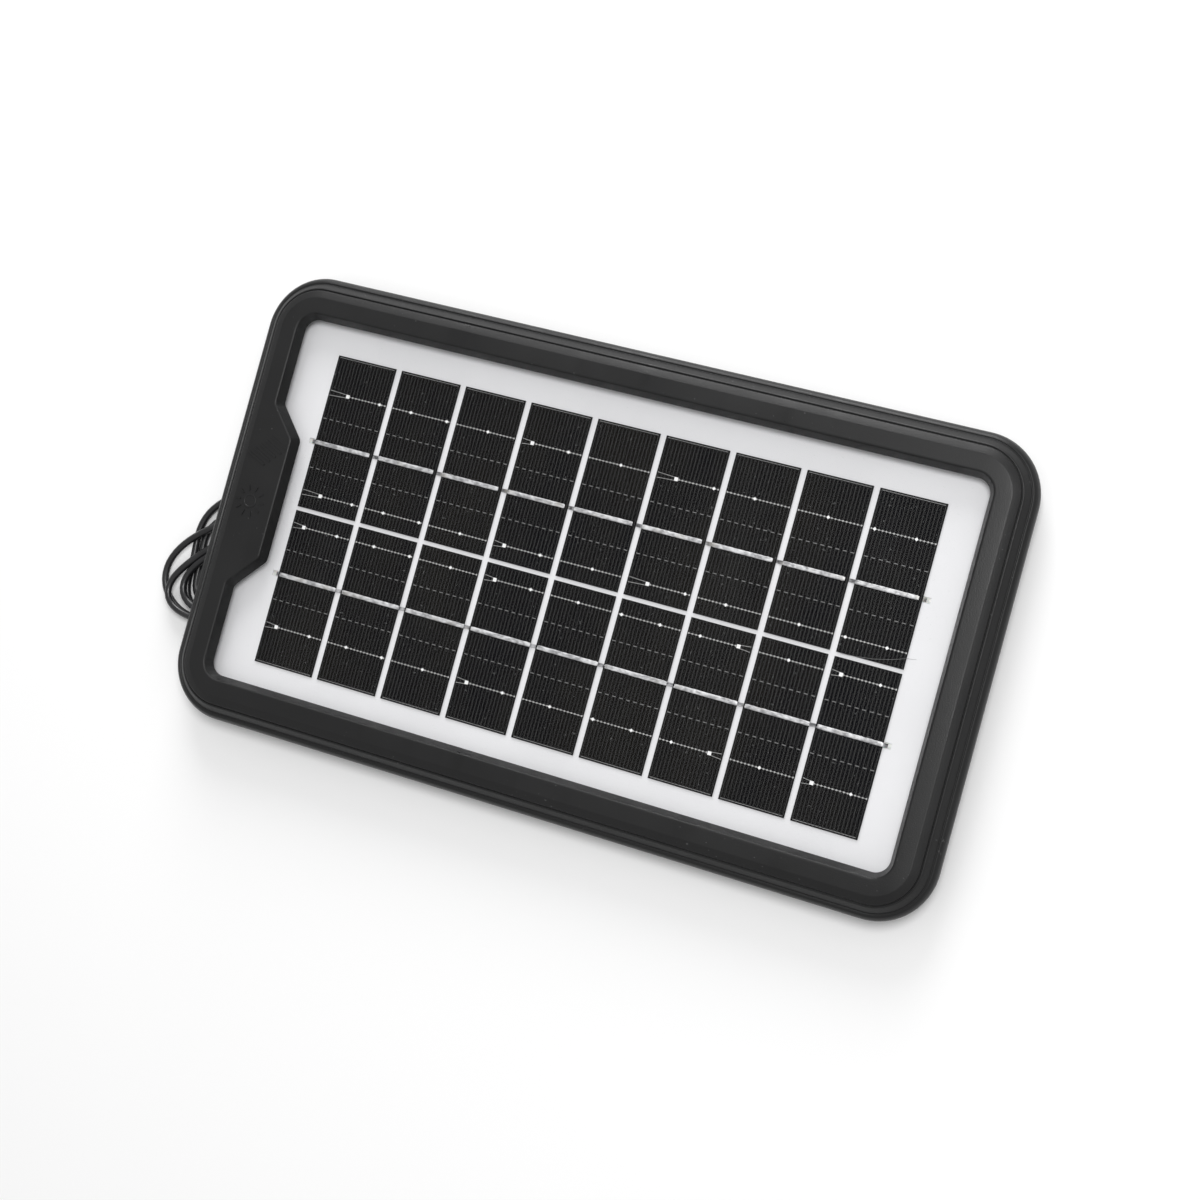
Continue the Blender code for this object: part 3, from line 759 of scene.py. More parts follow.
def cableRoute():
    # the hand-laid way of the cable: lead, seven tied turns and the tail to the plug
    route = list(leadRoute)
    lie, heights = cable["lie"], cable["layers"]
    for index, turn in enumerate(turns):
        layer, place = turn["upper"]
        route += [(x, y - place * lie, heights[layer]) for x, y in upperEdge[1:]]
        start, (layer, place) = heights[layer], turn["lower"]
        end = heights[layer]
        leftEnd = turn["round"]
        for step, (x, y) in enumerate(leftEnd):
            drop = min(1.0, max(0.0, (step / len(leftEnd) - 0.30) / 0.25))
            route.append((x, y, start + (end - start) * drop))
        route += [(x, y + place * lie, end) for x, y in reversed(lowerEdge[1:])]
        if index < len(turns) - 1:
            inset = place * lie
            low, high = lowerEdge[0][1] + inset, upperEdge[0][1] - inset
            half = (high - low) / 2
            wide = min(half, 13.0)
            after = heights[turns[index + 1]["upper"][0]]
            bend = []
            for step in range(7):
                angle = math.pi * step / 6
                bend.append((20.3 - inset - wide * (1 - math.sin(angle)), low + half * (1 - math.cos(angle))))
            for step, (x, y) in enumerate(bend):
                route.append((x, y, end + (after - end) * step / 6))
    return route + tailRoute


def evenPoints(route, spacing):
    # evenly spaced points on the smooth curve through a route's points
    knots = np.array(route, float)
    padded = np.vstack([2 * knots[0] - knots[1], knots, 2 * knots[-1] - knots[-2]])
    fine = []
    for before, start, end, after in zip(padded, padded[1:], padded[2:], padded[3:]):
        for t in np.linspace(0, 1, 24, endpoint=False):
            square = (2 * before - 5 * start + 4 * end - after) * t * t
            cube = (3 * start - before - 3 * end + after) * t ** 3
            fine.append(0.5 * (2 * start + (end - before) * t + square + cube))
    fine = np.array(fine + [knots[-1]])
    along = np.concatenate([[0], np.cumsum(np.linalg.norm(np.diff(fine, axis=0), axis=1))])
    at = np.linspace(0, along[-1], round(along[-1] / spacing) + 1)
    return np.stack([np.interp(at, along, fine[:, axis]) for axis in range(3)], axis=1)


def settleCable(points, rounds):
    # lets the strands push each other apart until they lie side by side and on each other
    size = cable["diameter"]
    points = points.copy()
    home = points.copy()
    lift = cable["tieLift"] * np.exp(-((home[:, 0] - cable["tie"][0]) / 8.0) ** 2)
    inHank = (home[:, 0] < 22) & (home[:, 1] < -3) | (home[:, 0] < -90)
    home[:, 2] += np.where(inHank, lift, 0)
    points[:, 2] = home[:, 2]
    order = np.arange(len(points))
    apart = np.abs(order[:, None] - order[None, :]) > 5
    floor = 1.3 + np.where(inHank, lift, 0)
    ceiling = np.where(inHank, cable["top"] + 0.7 * lift, 99.0)
    for _ in range(rounds):
        gap = points[:, None, :] - points[None, :, :]
        distance = np.sqrt((gap ** 2).sum(2)) + 1e-6
        touching = (distance < size * 1.01) & apart
        share = np.where(touching, (size * 1.01 - distance) / distance, 0.0)
        push = (gap * share[:, :, None]).sum(1) * 0.35
        length = np.linalg.norm(push, axis=1, keepdims=True) + 1e-9
        push *= np.minimum(1.0, 0.25 / length)
        points[2:-2] += push[2:-2]
        middle = (points[:-2] + points[2:]) / 2
        kink = (middle - points[1:-1])[1:-1]
        sharp = np.linalg.norm(kink, axis=1, keepdims=True)
        points[2:-2] += kink * (0.22 + 0.4 * np.clip((sharp - 0.34) / 0.2, 0, 1))
        points += 0.02 * (home - points)
        points[:, 2] = np.clip(points[:, 2], floor, ceiling)
        points[:2], points[-2:] = home[:2], home[-2:]
    return points


def makeCable(material):
    points = settleCable(evenPoints(cableRoute(), 2.4), 90)
    curve = bpy.data.curves.new("cableRun", "CURVE")
    curve.dimensions = "3D"
    curve.bevel_depth = cable["diameter"] / 2 * mm
    curve.bevel_resolution = 4
    curve.use_fill_caps = True
    spline = curve.splines.new("POLY")
    spline.points.add(len(points) - 1)
    for spot, point in zip(spline.points, points):
        spot.co = (*(point * mm), 1.0)
    curve.materials.append(material)
    piece = bpy.data.objects.new("cableRun", curve)
    bpy.context.scene.collection.objects.link(piece)
    length = np.linalg.norm(np.diff(points, axis=0), axis=1).sum() * mm
    print("cable laid,", round(float(length), 3), "m")
    onPanel(piece, "cable", "cable_lead", "cable_hank", "cable_tail")
    return piece


tie = {
    "halfWidth": 9.62,
    "halfHeight": 2.95,
    "height": 3.6,
    "wing": 1.05,                    # half the strip's width
}


def makeTie(material):
    # plastic-coated wire strip round the hank, its ends twisted together
    x, y = cable["tie"]
    rings = []
    profile = [(-tie["wing"], 0.0), (-tie["wing"], 0.14), (-0.42, 0.17), (-0.24, 0.42), (0.0, 0.52),
               (0.24, 0.42), (0.42, 0.17), (tie["wing"], 0.14), (tie["wing"], 0.0)]
    for along, out in profile:
        outline = roundedOutline(tie["halfWidth"] + out, tie["halfHeight"] + out, 1.4 + out,
                                 (y, tie["height"]), steps=6)
        rings.append([(x + along, across, up) for across, up in outline])
    band = fromRings("tieBand", rings, material, closed=True, sharp=55)
    onPanel(band, "twist_tie", "twist_tie")
    pieces = [band]
    start = Vector((x, y + tie["halfWidth"] + 0.5, tie["height"]))
    heading = Vector((0.33, 0.944, 0.0))
    aside = Vector((-0.944, 0.33, 0.0))
    for name, phase, reach in (("tieEndLong", 0.0, 9.3), ("tieEndShort", math.pi, 8.2)):
        path = []
        for step in range(41):
            share = step / 40
            angle = phase + share * 4.2 * math.pi
            swing = 0.42 if share < 0.8 else 0.42 + 0.6 * (share - 0.8)
            path.append(start + heading * (reach * share - 0.4) + aside * (math.cos(angle) * swing)
                        + Vector((0, 0, math.sin(angle) * swing)))
        end = tubeAlong(name, path, 0.40, material, 8)
        onPanel(end, "twist_tie")
        pieces.append(end)
    return pieces


# moulded frame

frontProfile = [                     # offset inwards, height, follows the tab
    (1.05, 4.3, False), (0.2, 8.2, False), (0.0, 9.8, False), (0.12, 10.8, False), (0.55, 11.7, False),
    (1.15, 12.4, False), (1.9, 12.8, False), (2.2, 12.65, False), (2.45, 12.65, False), (2.65, 13.0, False),
    (4.35, 15.0, False), (4.8, 15.15, False), (4.95, 14.9, False), (5.2, 14.9, False), (5.38, 15.7, False),
    (8.0, 16.75, False), (13.2, 17.0, True), (13.7, 16.85, True), (13.9, 16.5, True),
    (15.45, 13.3, True), (15.45, 13.12, True), (14.7, 13.12, True), (14.7, 13.75, True), (11.6, 13.75, False),
    (11.6, 7.0, False), (10.2, 7.0, False), (10.2, 14.6, False), (8.0, 14.5, False), (6.2, 13.4, False),
    (4.1, 11.3, False), (2.7, 10.4, False), (2.1, 9.0, False), (2.7, 4.3, False)]

rearProfile = [
    (1.12, 4.0, False), (1.35, 2.6, False), (1.75, 1.3, False), (2.4, 0.45, False), (3.5, 0.0, False),
    (13.2, 0.0, False), (14.0, 0.8, False), (14.0, 7.7, False), (12.2, 7.7, False), (12.2, 2.2, False),
    (4.1, 2.2, False), (4.1, 6.2, False), (3.0, 6.2, False), (3.0, 4.0, False)]


def screwPlaces():
    reach = (frameShape["cornerRadius"] - frameShape["screwOffset"]) * math.sqrt(0.5)
    x = frameShape["halfX"] - frameShape["cornerRadius"] + reach
    y = frameShape["halfY"] - frameShape["cornerRadius"] + reach
    return [(x, y), (-x, y), (-x, -y), (x, -y)]


def makeFrame(plastic):
    low, high = frameShape["outlet"]
    front = sweepFrame("frontMoulding", easeCorners(frontProfile, 0.22), plastic)
    cutWith(front, blockTool((-145, low, -2), (-132, high, 6.6)))
    rear = sweepFrame("rearMoulding", easeCorners(rearProfile, 0.4), plastic)
    cutWith(rear, blockTool((-145, low, -2), (-129, high, 8.5)))
    cutWith(rear, blockTool((-129.5, low, -2), (-120, high, 5.8)))
    for x, y in screwPlaces():
        cutWith(rear, turned("cutTool", [(-1.0, 3.25), (0.15, 3.1), (1.35, 3.1), (1.35, 1.7), (4.0, 1.7)],
                             (x, y, 0), (0, 0, 1), None, sides=28))
    for piece, slotName, node in ((front, "frame", "front_frame"), (rear, "rear_frame", "rear_frame")):
        soften(piece.data, 45)
        onPanel(piece, slotName, node)


tabRelief = {
    "centre": (-125.3, -3.0),
    "level": 16.94,
    "height": 0.40,
    "discRadius": 2.5,
    "rays": 10,
    "rayCircle": 4.6,
    "ray": (1.9, 0.45),
    "bars": 5,
    "barStep": (0.9, 2.3),
    "bar": (7.6, 0.6),
    "barTurn": -24,                  # degrees
    "barShift": (-1.8, 15.0),        # from the sun to the first rib, before the turn
}


def makeTabRelief(plastic, bars, rays):
    # a plain sun sign with slanted ribs beside it, raised a little from the tab
    x, y = tabRelief["centre"]
    middle = tabRelief["level"]
    rise = tabRelief["height"]
    disc = [(0.0, tabRelief["discRadius"]), (rise * 0.35, tabRelief["discRadius"]), (rise * 0.5, 2.35),
            (rise * 0.5, 1.95), (rise * 0.3, 1.8), (rise * 0.2, 1.78)]
    disc = [(along - 0.02, radius) for along, radius in disc]
    sun = turned("sunDisc", disc, (x, y, middle - 0.06), (0, 0, 1), plastic, sides=36)
    onPanel(sun, "frame")
    sunRays = grow("sunRays", rays, {
        "Rays": tabRelief["rays"], "Ray Circle": tabRelief["rayCircle"] * mm,
        "Ray Size": metres(*tabRelief["ray"], rise), "Place": metres(x, y, middle - 0.03),
        "Material": plastic})
    onPanel(sunRays, "frame")
    right, up = tabRelief["barShift"]
    slanted = grow("slantedRibs", bars, {
        "Groups": 1, "Group Step": (0, 0, 0), "Bars": tabRelief["bars"],
        "Bar Step": metres(*tabRelief["barStep"], 0), "First Bar": (0, 0, 0),
        "Bar Size": metres(*tabRelief["bar"], rise), "Turn": (0, 0, math.radians(tabRelief["barTurn"])),
        "Place": metres(x + right, y + up, middle + 0.01), "Material": plastic})
    onPanel(slanted, "frame")


screwHead = {
    "profile": [(0.12, 1.7), (0.15, 2.1), (0.45, 2.6), (1.05, 2.7), (1.05, 1.3), (9.4, 1.3), (10.2, 0.4)],
    "slotWidth": 0.55,
    "slotLength": 2.9,
    "slotDepth": 0.75,
}


def makeScrews(steel, copies):
    profile = easeCorners(screwHead["profile"], 0.15, 3, False)
    head = turned("screwHead", profile, (0, 0, 0), (0, 0, 1), steel)
    long, wide, deep = screwHead["slotLength"] / 2, screwHead["slotWidth"] / 2, screwHead["slotDepth"]
    cutWith(head, blockTool((-long, -wide, -1), (long, wide, deep)))
    cutWith(head, blockTool((-wide, -long, -1), (wide, long, deep)))
    places = pointMesh("screwSpots", [(x, y, 0) for x, y in screwPlaces()])
    screws = grow("frameScrews", copies, {"Original": head, "Seed": 4, "Material": steel}, places)
    bpy.data.objects.remove(head)
    onPanel(screws, "screw", "frame_screw_1", "frame_screw_2", "frame_screw_3", "frame_screw_4")


# glass and cells

glass = {
    "bottom": 9.72,                  # the front film is part of the same clear sheet
    "edge": 0.35,
}

cellPrint = {
    "fingers": 18,
    "fingerPitch": 1.27,
    "fingerWidth": 0.40,
    "thickness": 0.03,
    "bareEnd": 0.6,                  # from the cell's outer end to the collecting line
    "dotted": (13.4, 49.4),          # from the cell's outer end to the dotted busbars
    "dashed": (22.6, 40.4),
    "lineWidth": 0.11,
    "dotRadius": 0.31,
    "dashes": 9,
    "dashWidth": 0.26,
    "padSize": 1.28,
    "beadRadius": 0.64,
    "endLine": 0.25,                 # width of the collecting line
    "fork": {"width": 0.14, "atEdge": 0.90, "atPad": 0.50, "fromEdge": 0.4},
    "lifts": {"dash": 0.005, "line": 0.006, "fork": 0.010, "dot": 0.012, "pad": 0.020},
}

# along X from the cell's left edge, by string and column: a square pad (with its fork) and round pads
padPlan = {
    "upper": [((7.5, "fork"), (20.1,)), (None, (7.5, 21.4)), (None, (12.3,)), ((4.2, "fork"), (17.7,)),
              (None, (12.1,)), ((7.2, "fork"), (20.7,)), (None, (10.2,)), (None, (10.8,)),
              (None, (1.7, 15.8))],
    "lower": [((4.6, "fork"), (17.8,)), (None, (7.5, 21.4)), (None, (12.3,)), ((4.2, "fork"), (17.7,)),
              (None, (10.4,)), (None, (1.3, 15.2)), ((18.1, "forkRight"), (4.6,)), (None, (10.6,)),
              ((3.6, "fork"), (16.9,))],
}


def busRows(distances):
    top, bottom = cellGrid["highest"], cellGrid["lowest"]
    return ([("upper", top - distance) for distance in distances]
            + [("lower", bottom + distance) for distance in distances])


def makeGlass(material):
    offset = frameShape["halfX"] - glassHigh.x
    bottom, top, middle = glass["bottom"], glassHigh.z, 60.0
    edge = easeCorners([(0.0, bottom), (0.0, top), (middle, top), (middle, bottom)], glass["edge"], 3)
    rings = []
    for inset, height in edge:
        if inset < middle / 2:
            outline = roundedOutline(glassHigh.x - inset, glassHigh.y - inset,
                                     frameShape["cornerRadius"] - offset - inset)
            rings.append([(x, y, height) for x, y in outline])
    pane = fromRings("glassPane", rings, material, sharp=60)
    onPanel(pane, "glass", "cover_glass", "front_encapsulant")


fibre = {                            # a stray hair caught in the laminate, from cell a9's left edge
    "points": [(1.6, -0.2), (6.5, 0.1), (12.5, 0.8), (18.0, 2.1), (22.9, 3.7), (26.0, 4.2)],
    "level": 9.32,
    "radius": 0.06,
}


def makeFibre(material):
    left = cellGrid["firstLeft"] + (cellGrid["count"] - 1) * cellGrid["pitch"]
    foot = cellGrid["highest"] - cellGrid["length"]
    path = [(left + x, foot + y, fibre["level"]) for x, y in fibre["points"]]
    onPanel(tubeAlong("strayFibre", path, fibre["radius"], material, 6), "encapsulant")


def makeCellPrint(bars, pads, thinPaste, endPaste, busPaste, padPaste):
    grid, plan = cellGrid, cellPrint
    lifts, fork, pitch, thick = plan["lifts"], plan["fork"], plan["fingerPitch"], plan["thickness"]
    level = grid["face"] + thick / 2
    margin = (grid["width"] - (plan["fingers"] - 1) * pitch) / 2

    def printBars(name, count, step, first, size, paste):
        # the same bars on every cell of a string
        onPanel(grow(name, bars, {
            "Groups": grid["count"], "Group Step": metres(grid["pitch"], 0, 0), "Bars": count,
            "Bar Step": metres(step, 0, 0), "First Bar": metres(*first), "Bar Size": metres(*size, thick),
            "Turn": (0, 0, 0), "Place": (0, 0, 0), "Material": paste}), "cell")

    def printPads(name, points, sides, radius, turn, paste):
        onPanel(grow(name, pads, {"Sides": sides, "Pad Radius": radius * mm, "Pad Height": thick * mm,
                                  "Turn": (0, 0, turn), "Material": paste}, pointMesh(name, points)), "cell")

    halves = {"upper": (grid["highest"] - grid["length"], grid["highest"] - plan["bareEnd"]),
              "lower": (grid["lowest"] + plan["bareEnd"], grid["lowest"] + grid["length"])}
    for half, (low, high) in halves.items():
        printBars(half + "Fingers", plan["fingers"], pitch,
                  (grid["firstLeft"] + margin, (low + high) / 2, level),
                  (plan["fingerWidth"], high - low), thinPaste)
        end = high if half == "upper" else low
        printBars(half + "EndLines", 1, 0, (grid["firstLeft"] + grid["width"] / 2, end, level),
                  (grid["width"] - 2 * margin, plan["endLine"]), endPaste)
    for index, (half, row) in enumerate(busRows(plan["dashed"])):
        printBars(f"dashedLine{index + 1}", plan["dashes"], 2 * pitch,
                  (grid["firstLeft"] + margin + pitch / 2, row, level + lifts["dash"]),
                  (pitch, plan["dashWidth"]), endPaste)
    dots, squares, beads = [], [], []
    lines = bmesh.new()
    for half, row in busRows(plan["dotted"]):
        for column in range(grid["count"]):
            left = grid["firstLeft"] + column * grid["pitch"]
            square, rounds = padPlan[half][column]
            start, end = left + 0.5, left + grid["width"] - 0.5
            if square:
                pad, edge = left + square[0], left + fork["fromEdge"]
                if square[1] == "fork":
                    start = pad
                else:
                    end, edge = pad, left + grid["width"] - fork["fromEdge"]
            addStrip(lines, (start, row), (end, row), plan["lineWidth"], level + lifts["line"], thick)
            for finger in range(plan["fingers"]):
                place = left + margin + finger * pitch
                if start < place < end:
                    dots.append((place, row, level + lifts["dot"]))
            beads += [(left + place, row, level + lifts["pad"]) for place in rounds]
            if square:
                squares.append((pad, row, level + lifts["pad"]))
                for side in (-1, 1):
                    addStrip(lines, (edge, row + fork["atEdge"] * side), (pad, row + fork["atPad"] * side),
                             fork["width"], level + lifts["fork"], thick)
    onPanel(addPiece("busLines", meshFrom("busLines", lines), busPaste), "cell")
    printPads("busDots", dots, 8, plan["dotRadius"], 0, busPaste)
    printPads("roundPads", beads, 4, plan["beadRadius"], 0, padPaste)
    printPads("squarePads", squares, 4, plan["padSize"] * math.sqrt(0.5), math.pi / 4, padPaste)


def addStrip(work, start, end, width, level, thickness):
    # a thin flat strip between two points, added to a mesh in the making
    first, last = Vector((*start, level)), Vector((*end, level))
    side = (last - first).cross(Vector((0, 0, 1))).normalized() * width / 2
    rise = Vector((0, 0, thickness / 2))
    ring = [first - side - rise, first + side - rise, last + side - rise, last - side - rise]
    ring += [point + 2 * rise for point in ring]
    corners = [work.verts.new(point * mm) for point in ring]
    for face in ((0, 1, 2, 3), (4, 7, 6, 5), (0, 4, 5, 1), (1, 5, 6, 2), (2, 6, 7, 3), (3, 7, 4, 0)):
        work.faces.new([corners[index] for index in face])
    bmesh.ops.recalc_face_normals(work, faces=work.faces)


solder = {
    "seat": 9.385,                   # height at which the skin leaves the ribbon
    "root": 9.36,
    "beadLevel": 9.42,
    "step": 0.35,                    # between the rings of the skin
    "beadStep": 0.7,
    "crown": 0.13,
    "halfWidth": 0.72,
    "section": [(1.0, 0.0), (0.92, 0.55), (0.70, 0.88), (0.35, 0.98), (0.0, 1.0), (-0.35, 0.98),
                (-0.70, 0.88), (-0.92, 0.55), (-1.0, 0.0)],
    "seed": 7,
}


def solderRings(start, end, row):
    # the uneven section of the solder along one ribbon
    count = int((end - start) / solder["step"])
    rings = []
    for step in range(count + 1):
        x = start + (end - start) * step / count
        wobble = noise.noise(Vector((x * 0.9, row, 3.0)))
        fine = noise.noise(Vector((x * 3.1, row, 9.0)))
        taper = min(1.0, 0.35 + min(step, count - step) * 0.35)
        half = solder["halfWidth"] * (1 + 0.10 * wobble + 0.08 * fine) * (0.8 + 0.2 * taper)
        crown = solder["crown"] * taper * (1 + 0.55 * wobble + 0.35 * fine)
        middle = row + 0.06 * noise.noise(Vector((x * 0.5, row, 21.0)))
        ring = [(x, middle + half * across, solder["seat"] + crown * rise)
                for across, rise in solder["section"]]
        rings.append(ring + [(x, middle + side * half * 0.8, solder["root"]) for side in (-1, 1)])
    return rings


def makeSolder(material, blobs):
    # the solder that coats each ribbon on the cells, plus loose beads beside it
    spots = []
    for half, letter in (("upper", "a"), ("lower", "b")):
        low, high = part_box(f"ribbon_{letter}5")
        row = (low.y + high.y) / 2 / mm
        work = bmesh.new()
        for column in range(cellGrid["count"]):
            low, high = (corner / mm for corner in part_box(f"ribbon_{letter}{column + 1}"))
            left = cellGrid["firstLeft"] + column * cellGrid["pitch"]
            start, end = left + 0.15, high.x - 0.05
            if half == "lower":
                start, end = low.x + 0.05, left + cellGrid["width"]
            loft(work, solderRings(start, end, row))
            spots += [(start + solder["beadStep"] * step, row, solder["beadLevel"])
                      for step in range(int((end - start) / solder["beadStep"]))]
        bmesh.ops.recalc_face_normals(work, faces=work.faces)
        mesh = meshFrom(half + "SolderSkin", work)
        soften(mesh, 60)
        onPanel(addPiece(half + "SolderSkin", mesh, material), "ribbon")
    beads = grow("solderBeads", blobs, {
        "Seed": solder["seed"], "Keep": 0.42, "Wander": metres(0.3, 0.62, 0.0),
        "Smallest": metres(0.10, 0.08, 0.05), "Largest": metres(0.34, 0.22, 0.13), "Material": material},
        pointMesh("solderBeads", spots))
    onPanel(beads, "ribbon")


# back of the panel

boxShape = {
    "centre": (-87.0, 21.0),
    "half": (21.0, 14.0),
    "radius": 3.2,
    "wall": 1.3,
    "low": 2.0,
    "high": 7.7,
}


def boxRings(profile):
    # the box's outline at each (inset, height) of a profile
    rings = []
    for inset, height in profile:
        outline = roundedOutline(boxShape["half"][0] - inset, boxShape["half"][1] - inset,
                                 max(0.4, boxShape["radius"] - inset), boxShape["centre"], steps=8)
        rings.append([(x, y, height) for x, y in outline])
    return rings


def makeBox(plastic, bars):
    wall, low, high = boxShape["wall"], boxShape["low"], boxShape["high"]
    x, y = boxShape["centre"]
    sides = easeCorners([(0.0, low), (0.0, high), (wall, high), (wall, low)], 0.25, 3)
    box = fromRings("boxWalls", boxRings(sides), plastic, closed=True, sharp=50)
    outlet = (x + boxShape["half"][0], *cable["exit"][1:])
    cutWith(box, turned("cutTool", [(-3.0, 2.5), (1.0, 2.5)], outlet, (1, 0, 0), None))
    box.data.set_sharp_from_angle(angle=math.radians(45))
    onPanel(box, "junction_box", "junction_box")
    panel = [(5.0, 0.95), (4.6, 1.25), (3.6, 1.25), (3.2, 0.95)]
    rim = easeCorners([(1.2, 0.95), (0.2, 1.15), (0.0, 1.7), (wall + 0.3, 1.7), (wall + 0.3, 2.2),
                       (wall + 1.3, 2.2), (wall + 1.3, 1.9)], 0.2, 3, False)
    lid = fromRings("boxLid", boxRings(panel + rim), plastic, sharp=45)
    onPanel(lid, "junction_box", "junction_box_lid")
    grips = grow("lidGrips", bars, {
        "Groups": 2, "Group Step": metres(0, 24.2, 0), "Bars": 7, "Bar Step": metres(1.3, 0, 0),
        "First Bar": metres(x - 3.9, y - 12.1, 0.98), "Bar Size": metres(0.5, 1.6, 0.3),
        "Turn": (0, 0, 0), "Place": (0, 0, 0), "Material": plastic})
    onPanel(grips, "junction_box")


def makeBoxSealant(sealant):
    # an uneven bead squeezed out round the box where it sits on the back
    grownBy = 0.25
    outline = roundedOutline(boxShape["half"][0] + grownBy, boxShape["half"][1] + grownBy,
                             boxShape["radius"] + grownBy, boxShape["centre"], steps=14)
    centreLine = spreadAround(outline, 1.1)
    rings = []
    for index, (x, y) in enumerate(centreLine):
        before, after = centreLine[index - 1], centreLine[(index + 1) % len(centreLine)]
        run = Vector((after[0] - before[0], after[1] - before[1], 0)).normalized()
        out = Vector((run.y, -run.x, 0))
        swell = 1.0 + 0.30 * noise.noise(Vector((x * 0.22, y * 0.22, 1.0)))
        ring = []
        for degrees in range(0, 360, 36):
            angle = math.radians(degrees)
            ring.append(Vector((x, y, 7.62)) + out * (0.75 * swell * math.cos(angle) + 0.3)
                        + Vector((0, 0, min(0.36, 1.05 * swell * math.sin(angle)))))
        rings.append(ring)
    onPanel(fromRings("boxSealant", rings, sealant, closed=True, sharp=70), "junction_box")


def spreadAround(outline, spacing):
    points = np.array(outline + outline[:1], float)
    along = np.concatenate([[0], np.cumsum(np.linalg.norm(np.diff(points, axis=0), axis=1))])
    at = np.linspace(0, along[-1], int(along[-1] / spacing), endpoint=False)
    return list(zip(np.interp(at, along, points[:, 0]), np.interp(at, along, points[:, 1])))


def makeSlitSeals(sealant, blobs):
    # a dab of sealant over each slit where a ribbon comes through the back
    left = cellGrid["firstLeft"] - 1.3
    right = cellGrid["firstLeft"] + 8 * cellGrid["pitch"] + cellGrid["width"] + 1.3
    upper, lower = cellGrid["highest"] - 31.4, cellGrid["lowest"] + 31.4
    spots = [(left, upper, 7.9), (right, upper, 7.9), (left, lower, 7.9), (right, lower, 7.9)]
    dabs = grow("slitSealant", blobs, {
        "Seed": 3, "Keep": 1.0, "Wander": metres(0.2, 0.2, 0.0), "Smallest": metres(2.6, 1.9, 0.55),
        "Largest": metres(3.1, 2.3, 0.65), "Material": sealant}, pointMesh("slitSealant", spots))
    onPanel(dabs, "junction_box")


bush = {
    "profile": [(-2.2, 2.2), (0.3, 2.2), (0.3, 2.75), (2.2, 2.75), (3.2, 2.35), (15.2, 1.62), (16.0, 1.45)],
    "ribs": {"from": 4.2, "count": 8, "step": 1.4, "radius": 2.28, "growth": -0.085, "wire": 0.32},
}

plug = {
    "start": (75.0, -48.0, 3.9),
    "body": [(0.0, 1.45), (0.4, 1.75), (8.0, 2.3), (8.6, 3.2), (9.6, 3.5), (25.0, 3.5), (26.0, 3.1),
             (26.0, 2.2)],
    "barrel": [(25.9, 1.75), (35.5, 1.75), (35.72, 1.66), (35.8, 1.5), (35.8, 1.28), (35.6, 1.2), (29.5, 1.2),
               (29.4, 0.6), (26.4, 0.6)],
    "liner": [(29.6, 1.19), (35.45, 1.19), (35.5, 1.1), (35.5, 0.72), (30.0, 0.68)],
    "gripRibs": {"from": 12.5, "count": 7, "step": 1.5, "radius": 3.42, "growth": 0.0, "wire": 0.24},
    "neckRibs": {"from": 1.4, "count": 5, "step": 1.35, "radius": 1.78, "growth": 0.095, "wire": 0.26},
}


def makeRibs(name, ribs, start, rubber, rings):
    x, y, z = start
    piece = grow(name, rings, {
        "Rings": ribs["count"], "Ring Step": ribs["step"] * mm, "First Radius": ribs["radius"] * mm,
        "Radius Step": ribs["growth"] * mm, "Wire Radius": ribs["wire"] * mm,
        "Start": metres(x + ribs["from"], y, z), "Material": rubber})
    onPanel(piece, "cable_rubber")
    return piece


def makeLeadFittings(rubber, metal, insulator, rings):
    # ribbed bush where the lead leaves the box, and the slim plug on its far end
    outlet = (boxShape["centre"][0] + boxShape["half"][0], *cable["exit"][1:])
    leadBush = turned("leadBush", easeCorners(bush["profile"], 0.25, 3, False), outlet, (1, 0, 0), rubber)
    onPanel(leadBush, "cable_rubber", "strain_relief")
    bushRibs = makeRibs("bushRibs", bush["ribs"], outlet, rubber, rings)
    start = plug["start"]
    body = turned("plugBody", easeCorners(plug["body"], 0.4, 4, False), start, (1, 0, 0), rubber, sides=40)
    onPanel(body, "cable_rubber", "plug_body")
    gripRibs = makeRibs("plugRibs", plug["gripRibs"], start, rubber, rings)
    neckRibs = makeRibs("plugNeckRibs", plug["neckRibs"], start, rubber, rings)
    barrel = turned("plugBarrel", plug["barrel"], start, (1, 0, 0), metal, sides=40)
    onPanel(barrel, "plug_metal", "plug_barrel")
    liner = turned("plugLiner", plug["liner"], start, (1, 0, 0), insulator, sides=28)
    onPanel(liner, "cable_rubber")
    return [leadBush, bushRibs, body, gripRibs, neckRibs, barrel, liner]


def makeEjectorMarks(plastic, pads):
    # faint round marks that the mould's ejector pins leave on the rear rim
    offset = 9.6
    x, y = frameShape["halfX"] - offset, frameShape["halfY"] - offset
    spots = [(place, side * y, 0.04) for side in (-1, 1) for place in (-90, -45, 0, 45, 90)]
    spots += [(x, place, 0.04) for place in (-35, 0, 35)] + [(-x, 35, 0.04)]
    marks = grow("ejectorMarks", pads, {"Sides": 20, "Pad Radius": 1.6 * mm, "Pad Height": 0.06 * mm,
                                        "Turn": (0, 0, 0), "Material": plastic},
                 pointMesh("ejectorMarks", spots))
    onPanel(marks, "rear_frame")


def paintNodes(prefixes, material):
    for name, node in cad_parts.items():
        if any(name.startswith(prefix) for prefix in prefixes):
            if not node.material_slots:
                node.data.materials.append(material)
            for spot in node.material_slots:
                spot.material = material


# putting it together

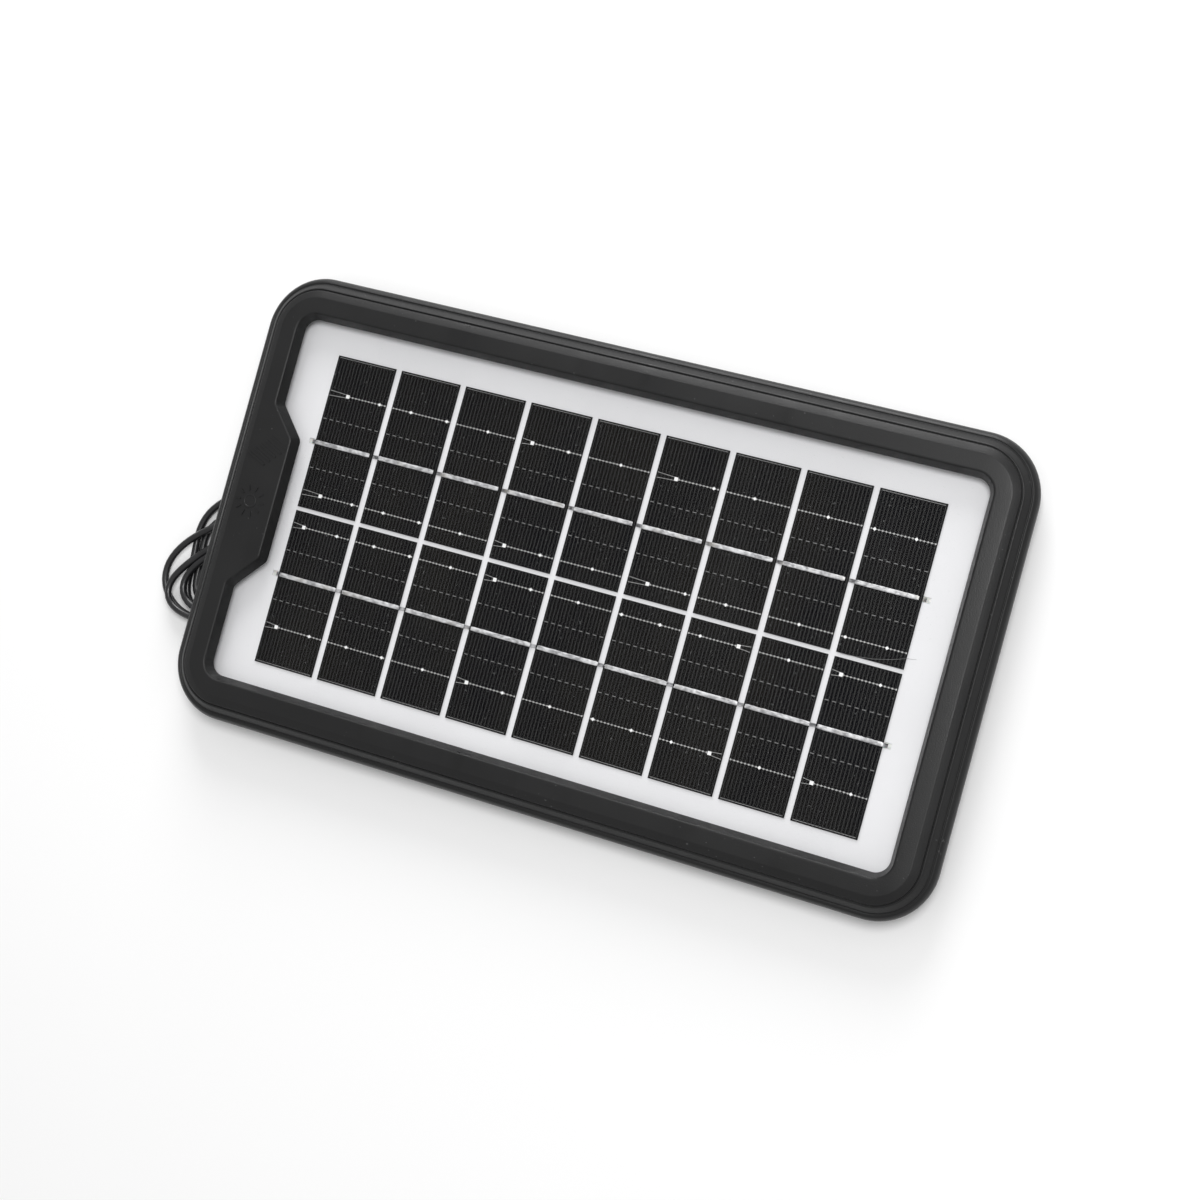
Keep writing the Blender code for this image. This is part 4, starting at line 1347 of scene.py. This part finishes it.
setCamera()
setLamps()
floorMesh = bpy.data.meshes.new("floor")
reach = studio["floorSize"] / 2
floorMesh.from_pydata([(-reach, -reach, 0), (reach, -reach, 0), (reach, reach, 0), (-reach, reach, 0)], [],
                      [(0, 1, 2, 3)])
floorPiece = addPiece("floor", floorMesh, paleFloor())
print("camera, lamps and floor set")

sheath = cableRubber("cableSheath", (0.010, 0.010, 0.011), 0.30)
framePlastic = sparkErodedPlastic("framePlastic", (0.0085, 0.0085, 0.0088), (0.0125, 0.0125, 0.0128), 0.40)
boxPlastic = sparkErodedPlastic("boxPlastic", (0.014, 0.014, 0.015), (0.022, 0.022, 0.023), 0.52, 0.0005, 0.4)
sealantMaterial = silicone()
solderMetal = tinnedRibbon("solderCoat", (0.32, 0.32, 0.33), (0.70, 0.70, 0.71))
# a darker copy of the solder coat for the flat ribbons between the cells: painted shade standing for their
# weaker reflection
ribbonMetalPaintedShade = tinnedRibbon("tinnedRibbon", (0.10, 0.10, 0.105), (0.34, 0.34, 0.35))
thinPaste = silverPaste("thinPaste", (0.0125, 0.0125, 0.013), (0.0185, 0.0185, 0.018), 0.004, 0.22)
endPaste = silverPaste("endPaste", (0.15, 0.15, 0.152), (0.22, 0.22, 0.218))
busPaste = silverPaste("busPaste", (0.30, 0.30, 0.30), (0.50, 0.50, 0.49))
padPaste = silverPaste("padPaste", (0.78, 0.78, 0.78), (0.95, 0.95, 0.95))
barTree, spotTree, beadTree, hoopTree = barGridTree(), padTree(), blobTree(), ringRowTree()
print("materials and node trees ready")

cablePiece = makeCable(sheath)
fittings = makeLeadFittings(sheath, turnedMetal("plugNickel", (0.42, 0.40, 0.36), (0.68, 0.67, 0.64), 0.2),
                            cableRubber("plugInsulator", (0.020, 0.020, 0.021), 0.45), hoopTree)
fittings += makeTie(cableRubber("tiePlastic", (0.018, 0.018, 0.018), 0.42))
print("cable, plug and tie made")

makeFrame(framePlastic)
makeTabRelief(framePlastic, barTree, sunTree())
makeScrews(turnedMetal("screwSteel", (0.10, 0.10, 0.10), (0.30, 0.30, 0.31), 0.34), copyTree())
makeEjectorMarks(framePlastic, spotTree)
print("frame made")

makeGlass(clearGlass())
makeCellPrint(barTree, spotTree, thinPaste, endPaste, busPaste, padPaste)
makeSolder(solderMetal, beadTree)
makeFibre(endPaste)
print("glass, cell print and solder made")

makeBox(boxPlastic, barTree)
makeBoxSealant(sealantMaterial)
makeSlitSeals(sealantMaterial, beadTree)
print("junction box made")

paintNodes(["cell_"], siliconFace())
# the flat ribbons get the darker copy, its colour painted shade
paintNodes(["ribbon_", "cross_ribbon", "positive_ribbon"], ribbonMetalPaintedShade)
paintNodes(["rear_encapsulant"], whiteFilm("whiteFilmFront", (0.785, 0.785, 0.80), 0.38))
paintNodes(["backsheet"], whiteFilm("backsheetFilm", (0.80, 0.80, 0.80), 0.42, 1.0))
paintNodes(["seal_gasket"], foamRubber())
paintNodes(["blocking_diode"], boxPlastic)
print("carried parts painted")
